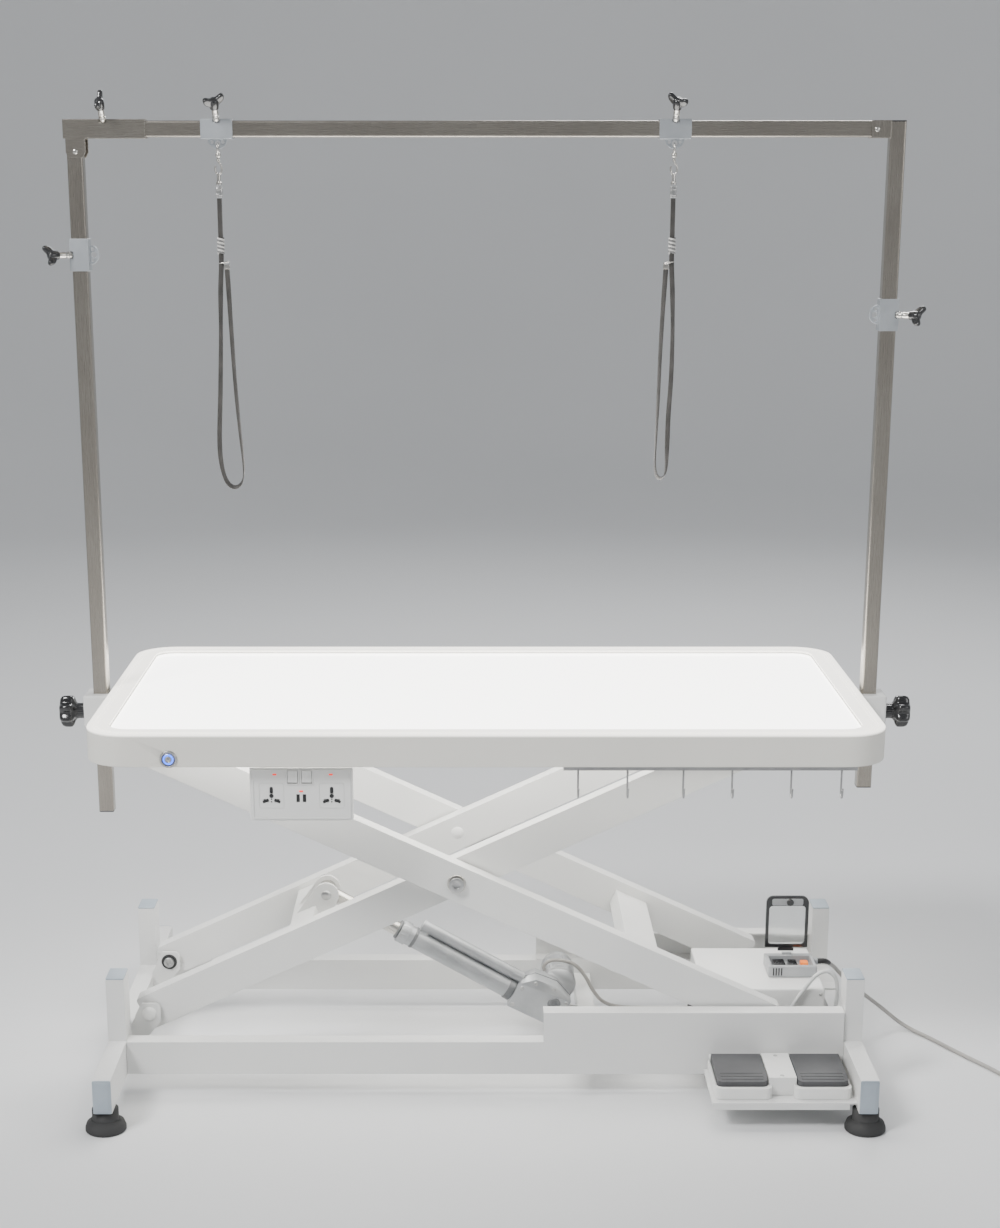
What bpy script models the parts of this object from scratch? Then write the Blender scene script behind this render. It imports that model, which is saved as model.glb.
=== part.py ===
"""Electric grooming table: a scissor lift, a lit table top and an overhead frame, as separate solids.

Metres, +Z up, X to the right, Y to the back. The origin is on the floor under the middle of the table.
"""

import math

import bmesh
import bpy
from mathutils import Matrix, Vector

# Driving dimensions ---------------------------------------------------------------------------------

GAP = 0.0003
ROUND_SIDES = 20

TABLE_HALF_LENGTH = 0.625
TABLE_HALF_WIDTH = 0.325
TABLE_CORNER = 0.0675
CASING_BOTTOM = 0.599
CASING_TOP = 0.651
RIM_WIDTH = 0.035
PANEL_TOP = 0.646
PANEL_THICKNESS = 0.010

ARM_LENGTH = 1.1414
ARM_HEIGHT = 0.060
ARM_WIDTH = 0.030
ARM_WALL = 0.002
ARM_OVERHANG = 0.012
INNER_ARM_Y = 0.125
OUTER_ARM_Y = 0.160
LOW_PIVOT = Vector((-0.565, 0.0, 0.121))
HIGH_PIVOT = Vector((-0.565, 0.0, 0.600))
LIFT_ANGLE = math.asin((HIGH_PIVOT.z - LOW_PIVOT.z) / ARM_LENGTH)
ROLLER_X = LOW_PIVOT.x + ARM_LENGTH * math.cos(LIFT_ANGLE)
CENTRE_PIVOT = Vector(((LOW_PIVOT.x + ROLLER_X) / 2, 0.0, (LOW_PIVOT.z + HIGH_PIVOT.z) / 2))
PIN_RADIUS = 0.008
PIN_HOLE = 0.0085
ROLLER_RADIUS = 0.0225
INNER_CROSS_ALONG = 0.290
OUTER_CROSS_FROM_END = 0.2325
CLEVIS_ALONG = 0.3365
CLEVIS_ABOVE = 0.0296

BEAM_BOTTOM = 0.038
BEAM_TOP = 0.095
SIDE_BEAM_X = 0.611
SIDE_BEAM_HALF = 0.015
SIDE_BEAM_END = 0.368
LONG_BEAM_Y = 0.195
LONG_BEAM_HALF = 0.015
BEAM_WALL = 0.002
UPRIGHT_Y = 0.180
UPRIGHT_HALF_Y = 0.025
UPRIGHT_TOP = 0.203
CHANNEL_START = 0.097
CHANNEL_TOP = 0.147
CHANNEL_WALL = 0.003
FOOT_Y = 0.345
FOOT_RADIUS = 0.033

ACTUATOR_PIVOT = Vector((0.140, 0.0, 0.055))
ACTUATOR_LENGTH = 0.4738
ACTUATOR_ANGLE = math.radians(29.6)
ACTUATOR_TUBE = 0.018
ROD_RADIUS = 0.0125

POST_X = 0.6445
TUBE_HALF = 0.0125
TUBE_WALL = 0.0015
CROSSBAR_Z = 1.547
BRACKET_START = 0.602
BRACKET_WEB = 0.6300
LEFT_POST_ENDS = (0.437, 1.5285)
RIGHT_POST_ENDS = (0.480, 1.558)
CLAMP_HALF_LENGTH = 0.025
CLAMP_HALF = 0.015
CLAMP_HOLE = 0.0128
CLAMP_CORNER = CLAMP_HALF * math.sqrt(2)
CROSSBAR_CLAMPS = {"left": -0.421, "right": 0.296}
POST_CLAMP_HEIGHTS = {"left": 1.356, "right": 1.263}
SLEEVE_SCREW_X = -0.598
EYE_RADIUS = 0.015
EYE_DROP = 0.0215

CORD_RADIUS = 0.0035
COIL_CENTRE = Vector((0.950, -0.205, 0.0))
COIL_RADIUS = 0.0385

# How each finish looks: colour, roughness, metallic.
FINISHES = {
    "paint": ((0.80, 0.79, 0.75), 0.45, 0.0),
    "casing": ((0.82, 0.80, 0.75), 0.50, 0.0),
    "panel": ((1.00, 0.97, 0.88), 0.30, 0.0),
    "stainless": ((0.62, 0.58, 0.50), 0.25, 1.0),
    "aluminium": ((0.55, 0.60, 0.66), 0.40, 1.0),
    "nickel": ((0.70, 0.68, 0.64), 0.20, 1.0),
    "rubber": ((0.03, 0.03, 0.03), 0.80, 0.0),
    "black_plastic": ((0.02, 0.02, 0.02), 0.40, 0.0),
    "white_plastic": ((0.84, 0.84, 0.82), 0.35, 0.0),
    "grey_plastic": ((0.45, 0.46, 0.47), 0.45, 0.0),
    "dark_plastic": ((0.10, 0.10, 0.11), 0.60, 0.0),
    "cast": ((0.50, 0.51, 0.52), 0.50, 0.6),
    "webbing": ((0.04, 0.035, 0.03), 0.85, 0.0),
    "cord": ((0.35, 0.33, 0.30), 0.60, 0.0),
    "clear": ((0.85, 0.87, 0.87), 0.10, 0.0),
}


# Building blocks ------------------------------------------------------------------------------------


def clear_scene():
    for old in list(bpy.data.objects):
        bpy.data.objects.remove(old, do_unlink=True)


def new_collection(name):
    collection = bpy.data.collections.new(name)
    bpy.context.scene.collection.children.link(collection)
    return collection


def add(name, mesh):
    """Puts a mesh in the scene as one more shape."""
    shape = bpy.data.objects.new(name, mesh)
    PARTS.objects.link(shape)
    return shape


def bake(shape):
    """Writes the shape's place into its mesh, so that it stands at the world's origin."""
    shape.data.transform(shape.matrix_basis)
    shape.matrix_basis = Matrix.Identity(4)


def block(name, low, high):
    """A box between two corners."""
    low, high = Vector(low), Vector(high)
    cube = bmesh.new()
    bmesh.ops.create_cube(cube, size=1.0)
    bmesh.ops.scale(cube, vec=high - low, verts=cube.verts)
    bmesh.ops.translate(cube, vec=(low + high) / 2, verts=cube.verts)
    mesh = bpy.data.meshes.new(name)
    cube.to_mesh(mesh)
    cube.free()
    return add(name, mesh)


def rod(name, start, end, radius, sides=ROUND_SIDES):
    """A round bar between two points."""
    start, end = Vector(start), Vector(end)
    bar = bmesh.new()
    bmesh.ops.create_cone(
        bar,
        cap_ends=True,
        segments=sides,
        radius1=radius,
        radius2=radius,
        depth=(end - start).length,
    )
    turn = Vector((0, 0, 1)).rotation_difference(end - start).to_matrix().to_4x4()
    mesh = bpy.data.meshes.new(name)
    bar.to_mesh(mesh)
    bar.free()
    mesh.transform(Matrix.Translation((start + end) / 2) @ turn)
    return add(name, mesh)


def as_mesh(source):
    """The source's evaluated shape as a plain mesh object in its place. The source is removed."""
    bpy.context.view_layer.update()
    graph = bpy.context.evaluated_depsgraph_get()
    mesh = bpy.data.meshes.new_from_object(source.evaluated_get(graph))
    mesh.transform(source.matrix_world)
    welded = bmesh.new()
    welded.from_mesh(mesh)
    bmesh.ops.remove_doubles(welded, verts=welded.verts, dist=0.00001)
    bmesh.ops.recalc_face_normals(welded, faces=welded.faces)
    welded.to_mesh(mesh)
    welded.free()
    name = source.name
    bpy.data.objects.remove(source, do_unlink=True)
    shape = add(name, mesh)
    shape.name = name
    return shape


def turned(name, centre, axis, profile, steps=ROUND_SIDES):
    """A turned shape: a profile of (radius, height) from top to bottom, spun about an axis."""
    mesh = bpy.data.meshes.new(name)
    points = [(radius, 0.0, height) for radius, height in profile]
    mesh.from_pydata(points, [(i, i + 1) for i in range(len(points) - 1)], [])
    shape = add(name, mesh)
    screw = shape.modifiers.new("Screw", "SCREW")
    screw.steps = steps
    screw.render_steps = steps
    screw.use_merge_vertices = True
    screw.merge_threshold = 0.00001
    turn = Vector((0, 0, 1)).rotation_difference(Vector(axis)).to_matrix().to_4x4()
    shape.matrix_basis = Matrix.Translation(centre) @ turn
    return as_mesh(shape)


def curve_object(name, points, cyclic, dimensions):
    curve = bpy.data.curves.new(name, "CURVE")
    curve.dimensions = dimensions
    spline = curve.splines.new("POLY")
    spline.points.add(len(points) - 1)
    for point, place in zip(spline.points, points):
        point.co = (*place, 0.0)[:3] + (1.0,)
    spline.use_cyclic_u = cyclic
    shape = bpy.data.objects.new(name, curve)
    PARTS.objects.link(shape)
    return shape


def slab(name, points, low, high):
    """A flat outline in X and Y, between two heights."""
    shape = curve_object(name, points, True, "2D")
    shape.data.fill_mode = "BOTH"
    shape.data.extrude = (high - low) / 2
    shape.location.z = (low + high) / 2
    return as_mesh(shape)


def plate(name, points, front, back):
    """A flat outline in X and Z, between two places in Y."""
    shape = curve_object(name, points, True, "2D")
    shape.data.fill_mode = "BOTH"
    shape.data.extrude = (back - front) / 2
    shape.location.y = (front + back) / 2
    shape.rotation_euler.x = math.pi / 2
    return as_mesh(shape)


def wire(name, points, radius, cyclic=False):
    """A round wire along points."""
    shape = curve_object(name, [tuple(p) for p in points], cyclic, "3D")
    shape.data.bevel_depth = radius
    shape.data.bevel_resolution = 2
    shape.data.use_fill_caps = not cyclic
    return as_mesh(shape)


def combine(piece, operation, helpers):
    bake(piece)
    for helper in helpers:
        PARTS.objects.unlink(helper)
        CUTTERS.objects.link(helper)
        helper.hide_render = True
        helper.display_type = "WIRE"
        helper.parent = piece
        modifier = piece.modifiers.new(helper.name, "BOOLEAN")
        modifier.operation = operation
        modifier.solver = "EXACT"
        modifier.object = helper


def join(piece, *helpers):
    combine(piece, "UNION", helpers)


def cut(piece, *helpers):
    combine(piece, "DIFFERENCE", helpers)


def set_pivot(piece, point):
    """Gives a piece that stands at the world's origin its own origin at point, on its joint's axis."""
    bake(piece)
    shift = Matrix.Translation(-Vector(point))
    piece.data.transform(shift)
    piece.location = point
    for helper in piece.children:
        helper.matrix_parent_inverse = shift


def place(piece, point, turn=0.0):
    """Moves a piece that was built about its own origin, and turns it about Y."""
    bake(piece)
    piece.location = point
    piece.rotation_euler.y = turn


def finish(piece, look):
    """Gives a piece a material of its own and smooth round faces."""
    colour, roughness, metallic = FINISHES[look]
    material = bpy.data.materials.new(f"{piece.name}_{look}")
    material.use_nodes = True
    shader = material.node_tree.nodes["Principled BSDF"]
    shader.inputs["Base Color"].default_value = (*colour, 1.0)
    shader.inputs["Roughness"].default_value = roughness
    shader.inputs["Metallic"].default_value = metallic
    piece.data.materials.clear()
    piece.data.materials.append(material)
    piece.data.shade_smooth()
    piece.data.set_sharp_from_angle(angle=math.radians(35))
    return piece


def arc(centre, radius, first, last, steps=8):
    """Points along an arc, with angles in degrees."""
    found = []
    for step in range(steps + 1):
        angle = math.radians(first + (last - first) * step / steps)
        found.append((centre[0] + radius * math.cos(angle), centre[1] + radius * math.sin(angle)))
    return found


def rounded_rectangle(half_x, half_y, corner, steps=6):
    x, y = half_x - corner, half_y - corner
    outline = arc((x, y), corner, 0, 90, steps)
    outline += arc((-x, y), corner, 90, 180, steps)
    outline += arc((-x, -y), corner, 180, 270, steps)
    outline += arc((x, -y), corner, 270, 360, steps)
    return outline


def smooth_route(points, spacing):
    """Evenly spaced points along a smooth curve through the route's own points."""
    route = [Vector(p) for p in points]
    route = [2 * route[0] - route[1], *route, 2 * route[-1] - route[-2]]
    dense = []
    for before, start, end, after in zip(route, route[1:], route[2:], route[3:]):
        for step in range(16):
            t = step / 16
            bend = 2 * start + (end - before) * t
            bend += (2 * before - 5 * start + 4 * end - after) * t**2
            bend += (3 * start - before - 3 * end + after) * t**3
            dense.append(bend / 2)
    dense.append(route[-2])
    length = sum((b - a).length for a, b in zip(dense, dense[1:]))
    count = max(2, round(length / spacing))
    found, walked, index = [dense[0]], 0.0, 0
    for number in range(1, count):
        wanted = length * number / count
        while walked + (dense[index + 1] - dense[index]).length < wanted:
            walked += (dense[index + 1] - dense[index]).length
            index += 1
        span = dense[index + 1] - dense[index]
        found.append(dense[index] + span * ((wanted - walked) / span.length))
    return [*found, dense[-1]]


# Base -----------------------------------------------------------------------------------------------


def end_frame(name, side):
    """A side beam with two uprights, which the table rests on when it is right down."""
    x = side * SIDE_BEAM_X
    half = SIDE_BEAM_HALF
    frame = block(name, (x - half, -SIDE_BEAM_END, BEAM_BOTTOM), (x + half, SIDE_BEAM_END, BEAM_TOP))
    inner = half - BEAM_WALL
    deep = UPRIGHT_HALF_Y - BEAM_WALL
    hollows = [
        block(
            "beam_hollow",
            (x - inner, -0.4, BEAM_BOTTOM + BEAM_WALL),
            (x + inner, 0.4, BEAM_TOP - BEAM_WALL),
        )
    ]
    for y in (-UPRIGHT_Y, UPRIGHT_Y):
        low = (x - half, y - UPRIGHT_HALF_Y, BEAM_TOP - BEAM_WALL / 2)
        join(frame, block("upright", low, (x + half, y + UPRIGHT_HALF_Y, UPRIGHT_TOP)))
        hollow_low = (x - inner, y - deep, BEAM_TOP + BEAM_WALL)
        hollow_high = (x + inner, y + deep, UPRIGHT_TOP + 0.01)
        hollows.append(block("upright_hollow", hollow_low, hollow_high))
    for y in (-FOOT_Y, FOOT_Y):
        hollows.append(rod("stem_hole", (x, y, 0.03), (x, y, 0.05), 0.0056))
    return frame, hollows


def left_end_frame():
    frame, hollows = end_frame("left_end_frame", -1)
    ear = [(LOW_PIVOT.x + 0.019, LOW_PIVOT.z - 0.014)]
    ear += arc((LOW_PIVOT.x + 0.010, LOW_PIVOT.z + 0.0095), 0.009, 0, 90, 5)
    ear += [(LOW_PIVOT.x - 0.012, LOW_PIVOT.z + 0.0185), (-0.5965, LOW_PIVOT.z - 0.021)]
    ear += [(-0.5965, 0.060), (-0.585, 0.060)]
    for inner, outer in ((0.1015, 0.1055), (0.1445, 0.1485)):
        join(frame, plate("front_ear", ear, -outer, -inner))
        join(frame, plate("rear_ear", ear, inner, outer))
    for side in (-1, 1):
        start = (LOW_PIVOT.x, side * 0.095, LOW_PIVOT.z)
        end = (LOW_PIVOT.x, side * 0.155, LOW_PIVOT.z)
        hollows.append(rod("pin_hole", start, end, PIN_HOLE))
    cut(frame, *hollows)
    finish(frame, "paint")


def right_end_frame():
    """The side beam that also carries the tray for the foot switch."""
    frame, hollows = end_frame("right_end_frame", 1)
    edge = SIDE_BEAM_X - SIDE_BEAM_HALF + 0.001
    back = -LONG_BEAM_Y - LONG_BEAM_HALF - GAP
    join(
        frame,
        block("tray", (0.364, -0.347, 0.0445), (edge, back, 0.047)),
        block("tray_lip", (0.364, -0.347, 0.035), (0.585, -0.3445, 0.0455)),
    )
    cut(frame, *hollows)
    finish(frame, "paint")


def long_beam(name, side):
    """A long beam with the roller channel welded on top of it."""
    end = SIDE_BEAM_X - SIDE_BEAM_HALF - GAP
    near, far = LONG_BEAM_Y - LONG_BEAM_HALF, LONG_BEAM_Y + LONG_BEAM_HALF

    def across(inner, outer):
        return (inner, outer) if side > 0 else (-outer, -inner)

    y_low, y_high = across(near, far)
    beam = block(name, (-end, y_low, BEAM_BOTTOM), (end, y_high, BEAM_TOP))
    join(
        beam,
        block("channel", (CHANNEL_START, y_low, BEAM_TOP - 0.001), (end - 0.001, y_high, CHANNEL_TOP)),
    )
    y_low, y_high = across(near + BEAM_WALL, far - BEAM_WALL)
    tube = block(
        "tube_hollow",
        (-0.65, y_low, BEAM_BOTTOM + BEAM_WALL),
        (0.65, y_high, BEAM_TOP - BEAM_WALL),
    )
    y_low, y_high = across(near - 0.01, far - CHANNEL_WALL)
    trough = block(
        "channel_hollow",
        (CHANNEL_START - 0.01, y_low, BEAM_TOP + CHANNEL_WALL),
        (0.65, y_high, CHANNEL_TOP - CHANNEL_WALL),
    )
    cut(beam, tube, trough)
    if side < 0:
        cut(beam, rod("cable_hole", (0.500, -0.22, 0.0655), (0.500, -0.17, 0.0655), 0.0045))
    finish(beam, "paint")


def actuator_mount():
    """The cross tube between the long beams, with the two lugs that hold the actuator."""
    y = LONG_BEAM_Y - LONG_BEAM_HALF - GAP
    mount = block("actuator_mount", (0.165, -y, 0.040), (0.195, y, 0.070))
    lug = arc((ACTUATOR_PIVOT.x, ACTUATOR_PIVOT.z), 0.017, 90, 270)
    lug += [(0.168, 0.040), (0.168, 0.069)]
    join(mount, plate("front_lug", lug, -0.0245, -0.0200), plate("rear_lug", lug, 0.0200, 0.0245))
    x, z = ACTUATOR_PIVOT.x, ACTUATOR_PIVOT.z
    cut(
        mount,
        block("mount_hollow", (0.167, -0.2, 0.042), (0.193, 0.2, 0.068)),
        rod("lug_hole", (x, -0.03, z), (x, 0.03, z), 0.0066),
    )
    finish(mount, "paint")


def levelling_foot(name, x, y):
    """A rubber foot on a threaded stem that screws into the side beam."""
    profile = [
        (0.0, 0.062),
        (0.005, 0.062),
        (0.005, BEAM_BOTTOM - GAP),
        (0.0215, BEAM_BOTTOM - GAP),
        (0.0215, 0.020),
        (0.030, 0.015),
        (FOOT_RADIUS, 0.007),
        (FOOT_RADIUS, 0.002),
        (0.031, 0.0),
        (0.0, 0.0),
    ]
    foot = turned(name, (0, 0, 0), (0, 0, 1), profile, 24)
    place(foot, (x, y, 0))
    finish(foot, "rubber")


def control_box():
    box = block("control_box", (0.367, -0.133, 0.050), (0.574, 0.068, 0.160))
    bevel = box.modifiers.new("Folded edges", "BEVEL")
    bevel.width = 0.003
    bevel.segments = 2
    top = BEAM_TOP + GAP
    for y in (-0.090, 0.030):
        join(box, block("tongue", (0.573, y, top), (0.622, y + 0.030, top + 0.003)))
    cut(box, block("inside", (0.369, -0.131, 0.040), (0.572, 0.066, 0.158)))
    finish(box, "paint")


def isolator_box():
    """The switch box on the control box, with the hinge block of its lid and the cord's gland."""
    floor = 0.160 + GAP
    box = block("isolator_box", (0.485, -0.081, floor), (0.568, -0.015, 0.181))
    bevel = box.modifiers.new("Moulded edges", "BEVEL")
    bevel.width = 0.002
    bevel.segments = 2
    join(
        box,
        block("hinge_block", (0.516, -0.024, 0.179), (0.532, -0.016, 0.1837)),
        rod("gland", (0.566, -0.030, 0.1715), (0.576, -0.030, 0.1715), 0.0065, 12),
    )
    cut(box, block("switch_well", (0.491, -0.075, 0.170), (0.562, -0.030, 0.185)))
    finish(box, "grey_plastic")


def isolator_lid():
    lid = block("isolator_lid", (0.4865, -0.0150, 0.1915), (0.5600, -0.0105, 0.2844))
    set_pivot(lid, (0.523, -0.012, 0.187))
    finish(lid, "clear")


def pedal_outline(left, right, front, back, corner):
    """A plan view with rounded front corners."""
    outline = [(right, back), (left, back)]
    outline += arc((left + corner, front + corner), corner, 180, 270, 5)
    outline += arc((right - corner, front + corner), corner, 270, 360, 5)
    return outline


def pedal_housing():
    """The foot switch's two bases, with a well for each pedal, and the block between them."""
    floor = 0.047 + GAP
    left = pedal_outline(0.370, 0.462, -0.335, -0.215, 0.011)
    right = pedal_outline(0.498, 0.590, -0.335, -0.215, 0.011)
    housing = slab("pedal_housing", left, floor, 0.066)
    join(
        housing,
        slab("right_base", right, floor, 0.066),
        block("centre_block", (0.4575, -0.317, floor), (0.5025, -0.2155, 0.078)),
    )
    wells = []
    for low, high in ((0.3730, 0.4570), (0.5030, 0.5870)):
        well = pedal_outline(low, high, -0.326, -0.217, 0.010)
        wells.append(slab("well", well, 0.0553, 0.09))
    cut(housing, *wells)
    finish(housing, "white_plastic")


def pedal(name, left, right):
    """A pedal that tips about its back edge, thinner towards its front."""
    tread = slab(name, pedal_outline(left, right, -0.3245, -0.2182, 0.009), 0.0640, 0.0780)
    slope = [(-0.335, 0.0725), (-0.2950, 0.0790), (-0.2950, 0.0900), (-0.335, 0.0900)]
    wedge = plate("front_slope", slope, left - 0.01, right + 0.01)
    wedge.data.transform(Matrix.Rotation(math.pi / 2, 4, "Z"))
    wedge.data.transform(Matrix.Translation(((left + right), 0, 0)))
    cut(tread, wedge)
    set_pivot(tread, ((left + right) / 2, -0.2215, 0.068))
    finish(tread, "dark_plastic")


def cables():
    """The two leads that the base holds all the way, and the mains lead with its coil and plug."""
    motor_route = [
        (0.105, -0.006, 0.1450),
        (0.104, -0.006, 0.1540),
        (0.113, -0.004, 0.1615),
        (0.132, -0.002, 0.1625),
        (0.157, 0.0, 0.1540),
        (0.176, 0.0, 0.133),
        (0.190, 0.0, 0.107),
        (0.207, 0.0, 0.086),
        (0.235, 0.0, 0.0755),
        (0.290, 0.0, 0.073),
        (0.367 - GAP, 0.0, 0.073),
    ]
    finish(wire("motor_cable", smooth_route(motor_route, 0.011), 0.0032), "cord")
    pedal_route = [
        (0.500, -0.215 + GAP, 0.0655),
        (0.500, -0.195, 0.0655),
        (0.500, -0.172, 0.0660),
        (0.500, -0.155, 0.0700),
        (0.501, -0.1420, 0.0810),
        (0.505, -0.1378, 0.0980),
        (0.516, -0.1378, 0.1250),
        (0.536, -0.1378, 0.1580),
        (0.557, -0.1378, 0.1860),
        (0.575, -0.1378, 0.1930),
        (0.589, -0.1378, 0.1820),
        (0.5935, -0.1370, 0.1600),
        (0.5935, -0.1340, 0.1350),
        (0.5900, -0.1270, 0.1150),
        (0.5830, -0.1190, 0.1040),
        (0.574 + 3 * GAP, -0.1180, 0.1030),
    ]
    finish(wire("pedal_cable", smooth_route(pedal_route, 0.010), 0.0033), "cord")
    power_route = [
        (0.576 + GAP, -0.030, 0.1715),
        (0.590, -0.030, 0.1715),
        (0.6018, -0.014, 0.1605),
        (0.6130, 0.004, 0.1478),
        (0.6289, 0.024, 0.1250),
        (0.6443, 0.038, 0.1070),
        (0.6597, 0.050, 0.0910),
        (0.6748, 0.062, 0.0769),
        (0.6942, 0.075, 0.0584),
        (0.7130, 0.084, 0.0420),
        (0.7329, 0.088, 0.0240),
        (0.7520, 0.082, 0.0095),
        (0.7690, 0.066, 0.0040),
        (0.7850, 0.042, 0.0037),
        (0.8020, 0.012, 0.0037),
        (0.833, -0.045, 0.0037),
        (0.876, -0.120, 0.0037),
        (0.892, -0.158, 0.0037),
        (0.8965, -0.194, 0.0037),
    ]
    finish(wire("power_cord", smooth_route(power_route, 0.014), CORD_RADIUS), "cord")
    ring = [
        (COIL_RADIUS - 0.0105, 0.0200),
        (COIL_RADIUS + 0.0070, 0.0200),
        (COIL_RADIUS + 0.0105, 0.0140),
        (COIL_RADIUS + 0.0105, GAP),
        (COIL_RADIUS - 0.0105, GAP),
        (COIL_RADIUS - 0.0105, 0.0200),
    ]
    coil = turned("power_cord_coil", (0, 0, 0), (0, 0, 1), ring, 28)
    place(coil, COIL_CENTRE)
    finish(coil, "cord")
    plug = block("power_plug", (0.9475, -0.3020, GAP), (0.9755, -0.2620, 0.0180))
    bevel = plug.modifiers.new("Grip edges", "BEVEL")
    bevel.width = 0.004
    bevel.segments = 2
    join(
        plug,
        rod("left_pin", (0.9520, -0.3210, 0.0090), (0.9520, -0.3000, 0.0090), 0.0022, 10),
        rod("right_pin", (0.9710, -0.3210, 0.0090), (0.9710, -0.3000, 0.0090), 0.0022, 10),
    )
    finish(plug, "black_plastic")


# Scissor --------------------------------------------------------------------------------------------


def arm(name, y, pins, holes):
    """A hollow arm along +X from its left pivot, cut square just past both pivots."""
    half = ARM_HEIGHT / 2
    outline = rounded_rectangle(ARM_LENGTH / 2 + ARM_OVERHANG, half, 0.006, 3)
    outline = [(x + ARM_LENGTH / 2, z) for x, z in outline]
    bar = plate(name, outline, y - ARM_WIDTH / 2, y + ARM_WIDTH / 2)
    inner = half - ARM_WALL
    side = ARM_WIDTH / 2 - ARM_WALL
    cut(
        bar,
        block("arm_hollow", (-0.05, y - side, -inner), (ARM_LENGTH + 0.05, y + side, inner)),
    )
    for x, radius, near, far in pins:
        join(bar, rod("pin", (x, near, 0), (x, far, 0), radius))
    for x, radius in holes:
        reach = ARM_WIDTH
        cut(bar, rod("hole", (x, y - reach, 0), (x, y + reach, 0), radius))
    return bar


def inner_arms():
    """From the base's pivots, at the lower left, up to the rollers under the table's right end."""
    middle = ARM_LENGTH / 2
    for name, side in (("front_inner_arm", -1), ("rear_inner_arm", 1)):
        pins = [
            (0.0, PIN_RADIUS, side * 0.1005, side * 0.1495),
            (middle, PIN_RADIUS, side * 0.1120, side * 0.1800),
        ]
        bar = arm(name, side * INNER_ARM_Y, pins, [(ARM_LENGTH, PIN_HOLE)])
        place(bar, LOW_PIVOT, -LIFT_ANGLE)
        finish(bar, "paint")


def inner_cross_tube():
    """The cross tube between the inner arms, with the two lugs for the actuator's rod."""
    half = 0.0215
    y = INNER_ARM_Y - ARM_WIDTH / 2 - GAP
    x = INNER_CROSS_ALONG
    tube = block("inner_cross_tube", (x - half, -y, -half), (x + half, y, half))
    lug = arc((CLEVIS_ALONG, CLEVIS_ABOVE), 0.022, -60, 120)
    lug += [(x - 0.015, half - 0.001), (x, 0.0), (x + half - 0.001, -0.018)]
    join(tube, plate("front_lug", lug, -0.0240, -0.0190), plate("rear_lug", lug, 0.0190, 0.0240))
    wall = half - 0.002
    cut(tube, block("cross_hollow", (x - wall, -0.2, -wall), (x + wall, 0.2, wall)))
    place(tube, LOW_PIVOT, -LIFT_ANGLE)
    finish(tube, "paint")


def upper_roller_shaft():
    """The shaft through both inner arms, with a roller at each end in the table's tracks."""
    x, z = ROLLER_X, HIGH_PIVOT.z
    shaft = rod("upper_roller_shaft", (x, -0.174, z), (x, 0.174, z), PIN_RADIUS)
    for side in (-1, 1):
        join(shaft, rod("roller", (x, side * 0.1505, z), (x, side * 0.1720, z), ROLLER_RADIUS, 24))
    set_pivot(shaft, (x, 0, z))
    finish(shaft, "nickel")


def outer_arms():
    """From the pivots under the table's left end down to the rollers in the base's channels."""
    middle = ARM_LENGTH / 2
    for name, side in (("front_outer_arm", -1), ("rear_outer_arm", 1)):
        y = side * OUTER_ARM_Y
        pins = [(0.0, PIN_RADIUS, side * 0.1375, side * 0.1825)]
        bar = arm(name, y, pins, [(middle, PIN_HOLE), (ARM_LENGTH, PIN_HOLE)])
        bar.data.transform(Matrix.Translation((-middle, 0, 0)))
        for helper in bar.children:
            helper.matrix_parent_inverse = Matrix.Translation((-middle, 0, 0))
        place(bar, CENTRE_PIVOT, LIFT_ANGLE)
        finish(bar, "paint")


def outer_cross_tube():
    y = OUTER_ARM_Y - ARM_WIDTH / 2 - GAP
    x = ARM_LENGTH / 2 - OUTER_CROSS_FROM_END
    tube = block("outer_cross_tube", (x - 0.030, -y, -0.0135), (x + 0.030, y, 0.0135))
    cut(tube, block("cross_hollow", (x - 0.028, -0.2, -0.0115), (x + 0.028, 0.2, 0.0115)))
    place(tube, CENTRE_PIVOT, LIFT_ANGLE)
    finish(tube, "paint")


def lower_roller(name, side):
    """A roller in the base's channel, on its own axle through the outer arm."""
    x, z = ROLLER_X, LOW_PIVOT.z
    roller = rod(name, (x, side * 0.1835, z), (x, side * 0.2045, z), ROLLER_RADIUS, 24)
    join(roller, rod("axle", (x, side * 0.1435, z), (x, side * 0.1900, z), PIN_RADIUS))
    set_pivot(roller, (x, side * OUTER_ARM_Y, z))
    finish(roller, "nickel")


def actuator_housing():
    """The gear housing, motor and outer tube. It is built along +X from its pivot, upwards +Z."""
    housing = rod("actuator_housing", (0.090, 0, 0), (0.322, 0, 0), ACTUATOR_TUBE, 24)
    gears = [(0.024, -0.017), (0.103, -0.021), (0.103, 0.026), (0.084, 0.046), (0.044, 0.052)]
    gears += [(0.010, 0.040), (0.010, 0.024), (0.024, 0.018)]
    join(
        housing,
        rod("eye", (0, -0.0188, 0), (0, 0.0188, 0), 0.0155),
        block("neck", (0.0, -0.0180, -0.012), (0.030, 0.0180, 0.012)),
        rod("pin", (0, -0.0240, 0), (0, 0.0240, 0), 0.006),
        plate("gear_case", gears, -0.0280, 0.0280),
        rod("motor", (0.034, -0.020, 0.043), (0.034, -0.108, 0.043), 0.029, 24),
        rod("side_tube", (0.100, 0, 0.0280), (0.300, 0, 0.0280), 0.0105, 16),
        rod("end_cap", (0.314, 0, 0), (0.330, 0, 0), 0.0205, 24),
        block("side_clip", (0.284, -0.008, 0.010), (0.300, 0.008, 0.030)),
    )
    cut(housing, rod("bore", (0.122, 0, 0), (0.340, 0, 0), 0.0135, 24))
    place(housing, ACTUATOR_PIVOT, math.pi + ACTUATOR_ANGLE)
    housing.rotation_euler.x = math.pi
    finish(housing, "cast")


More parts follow.
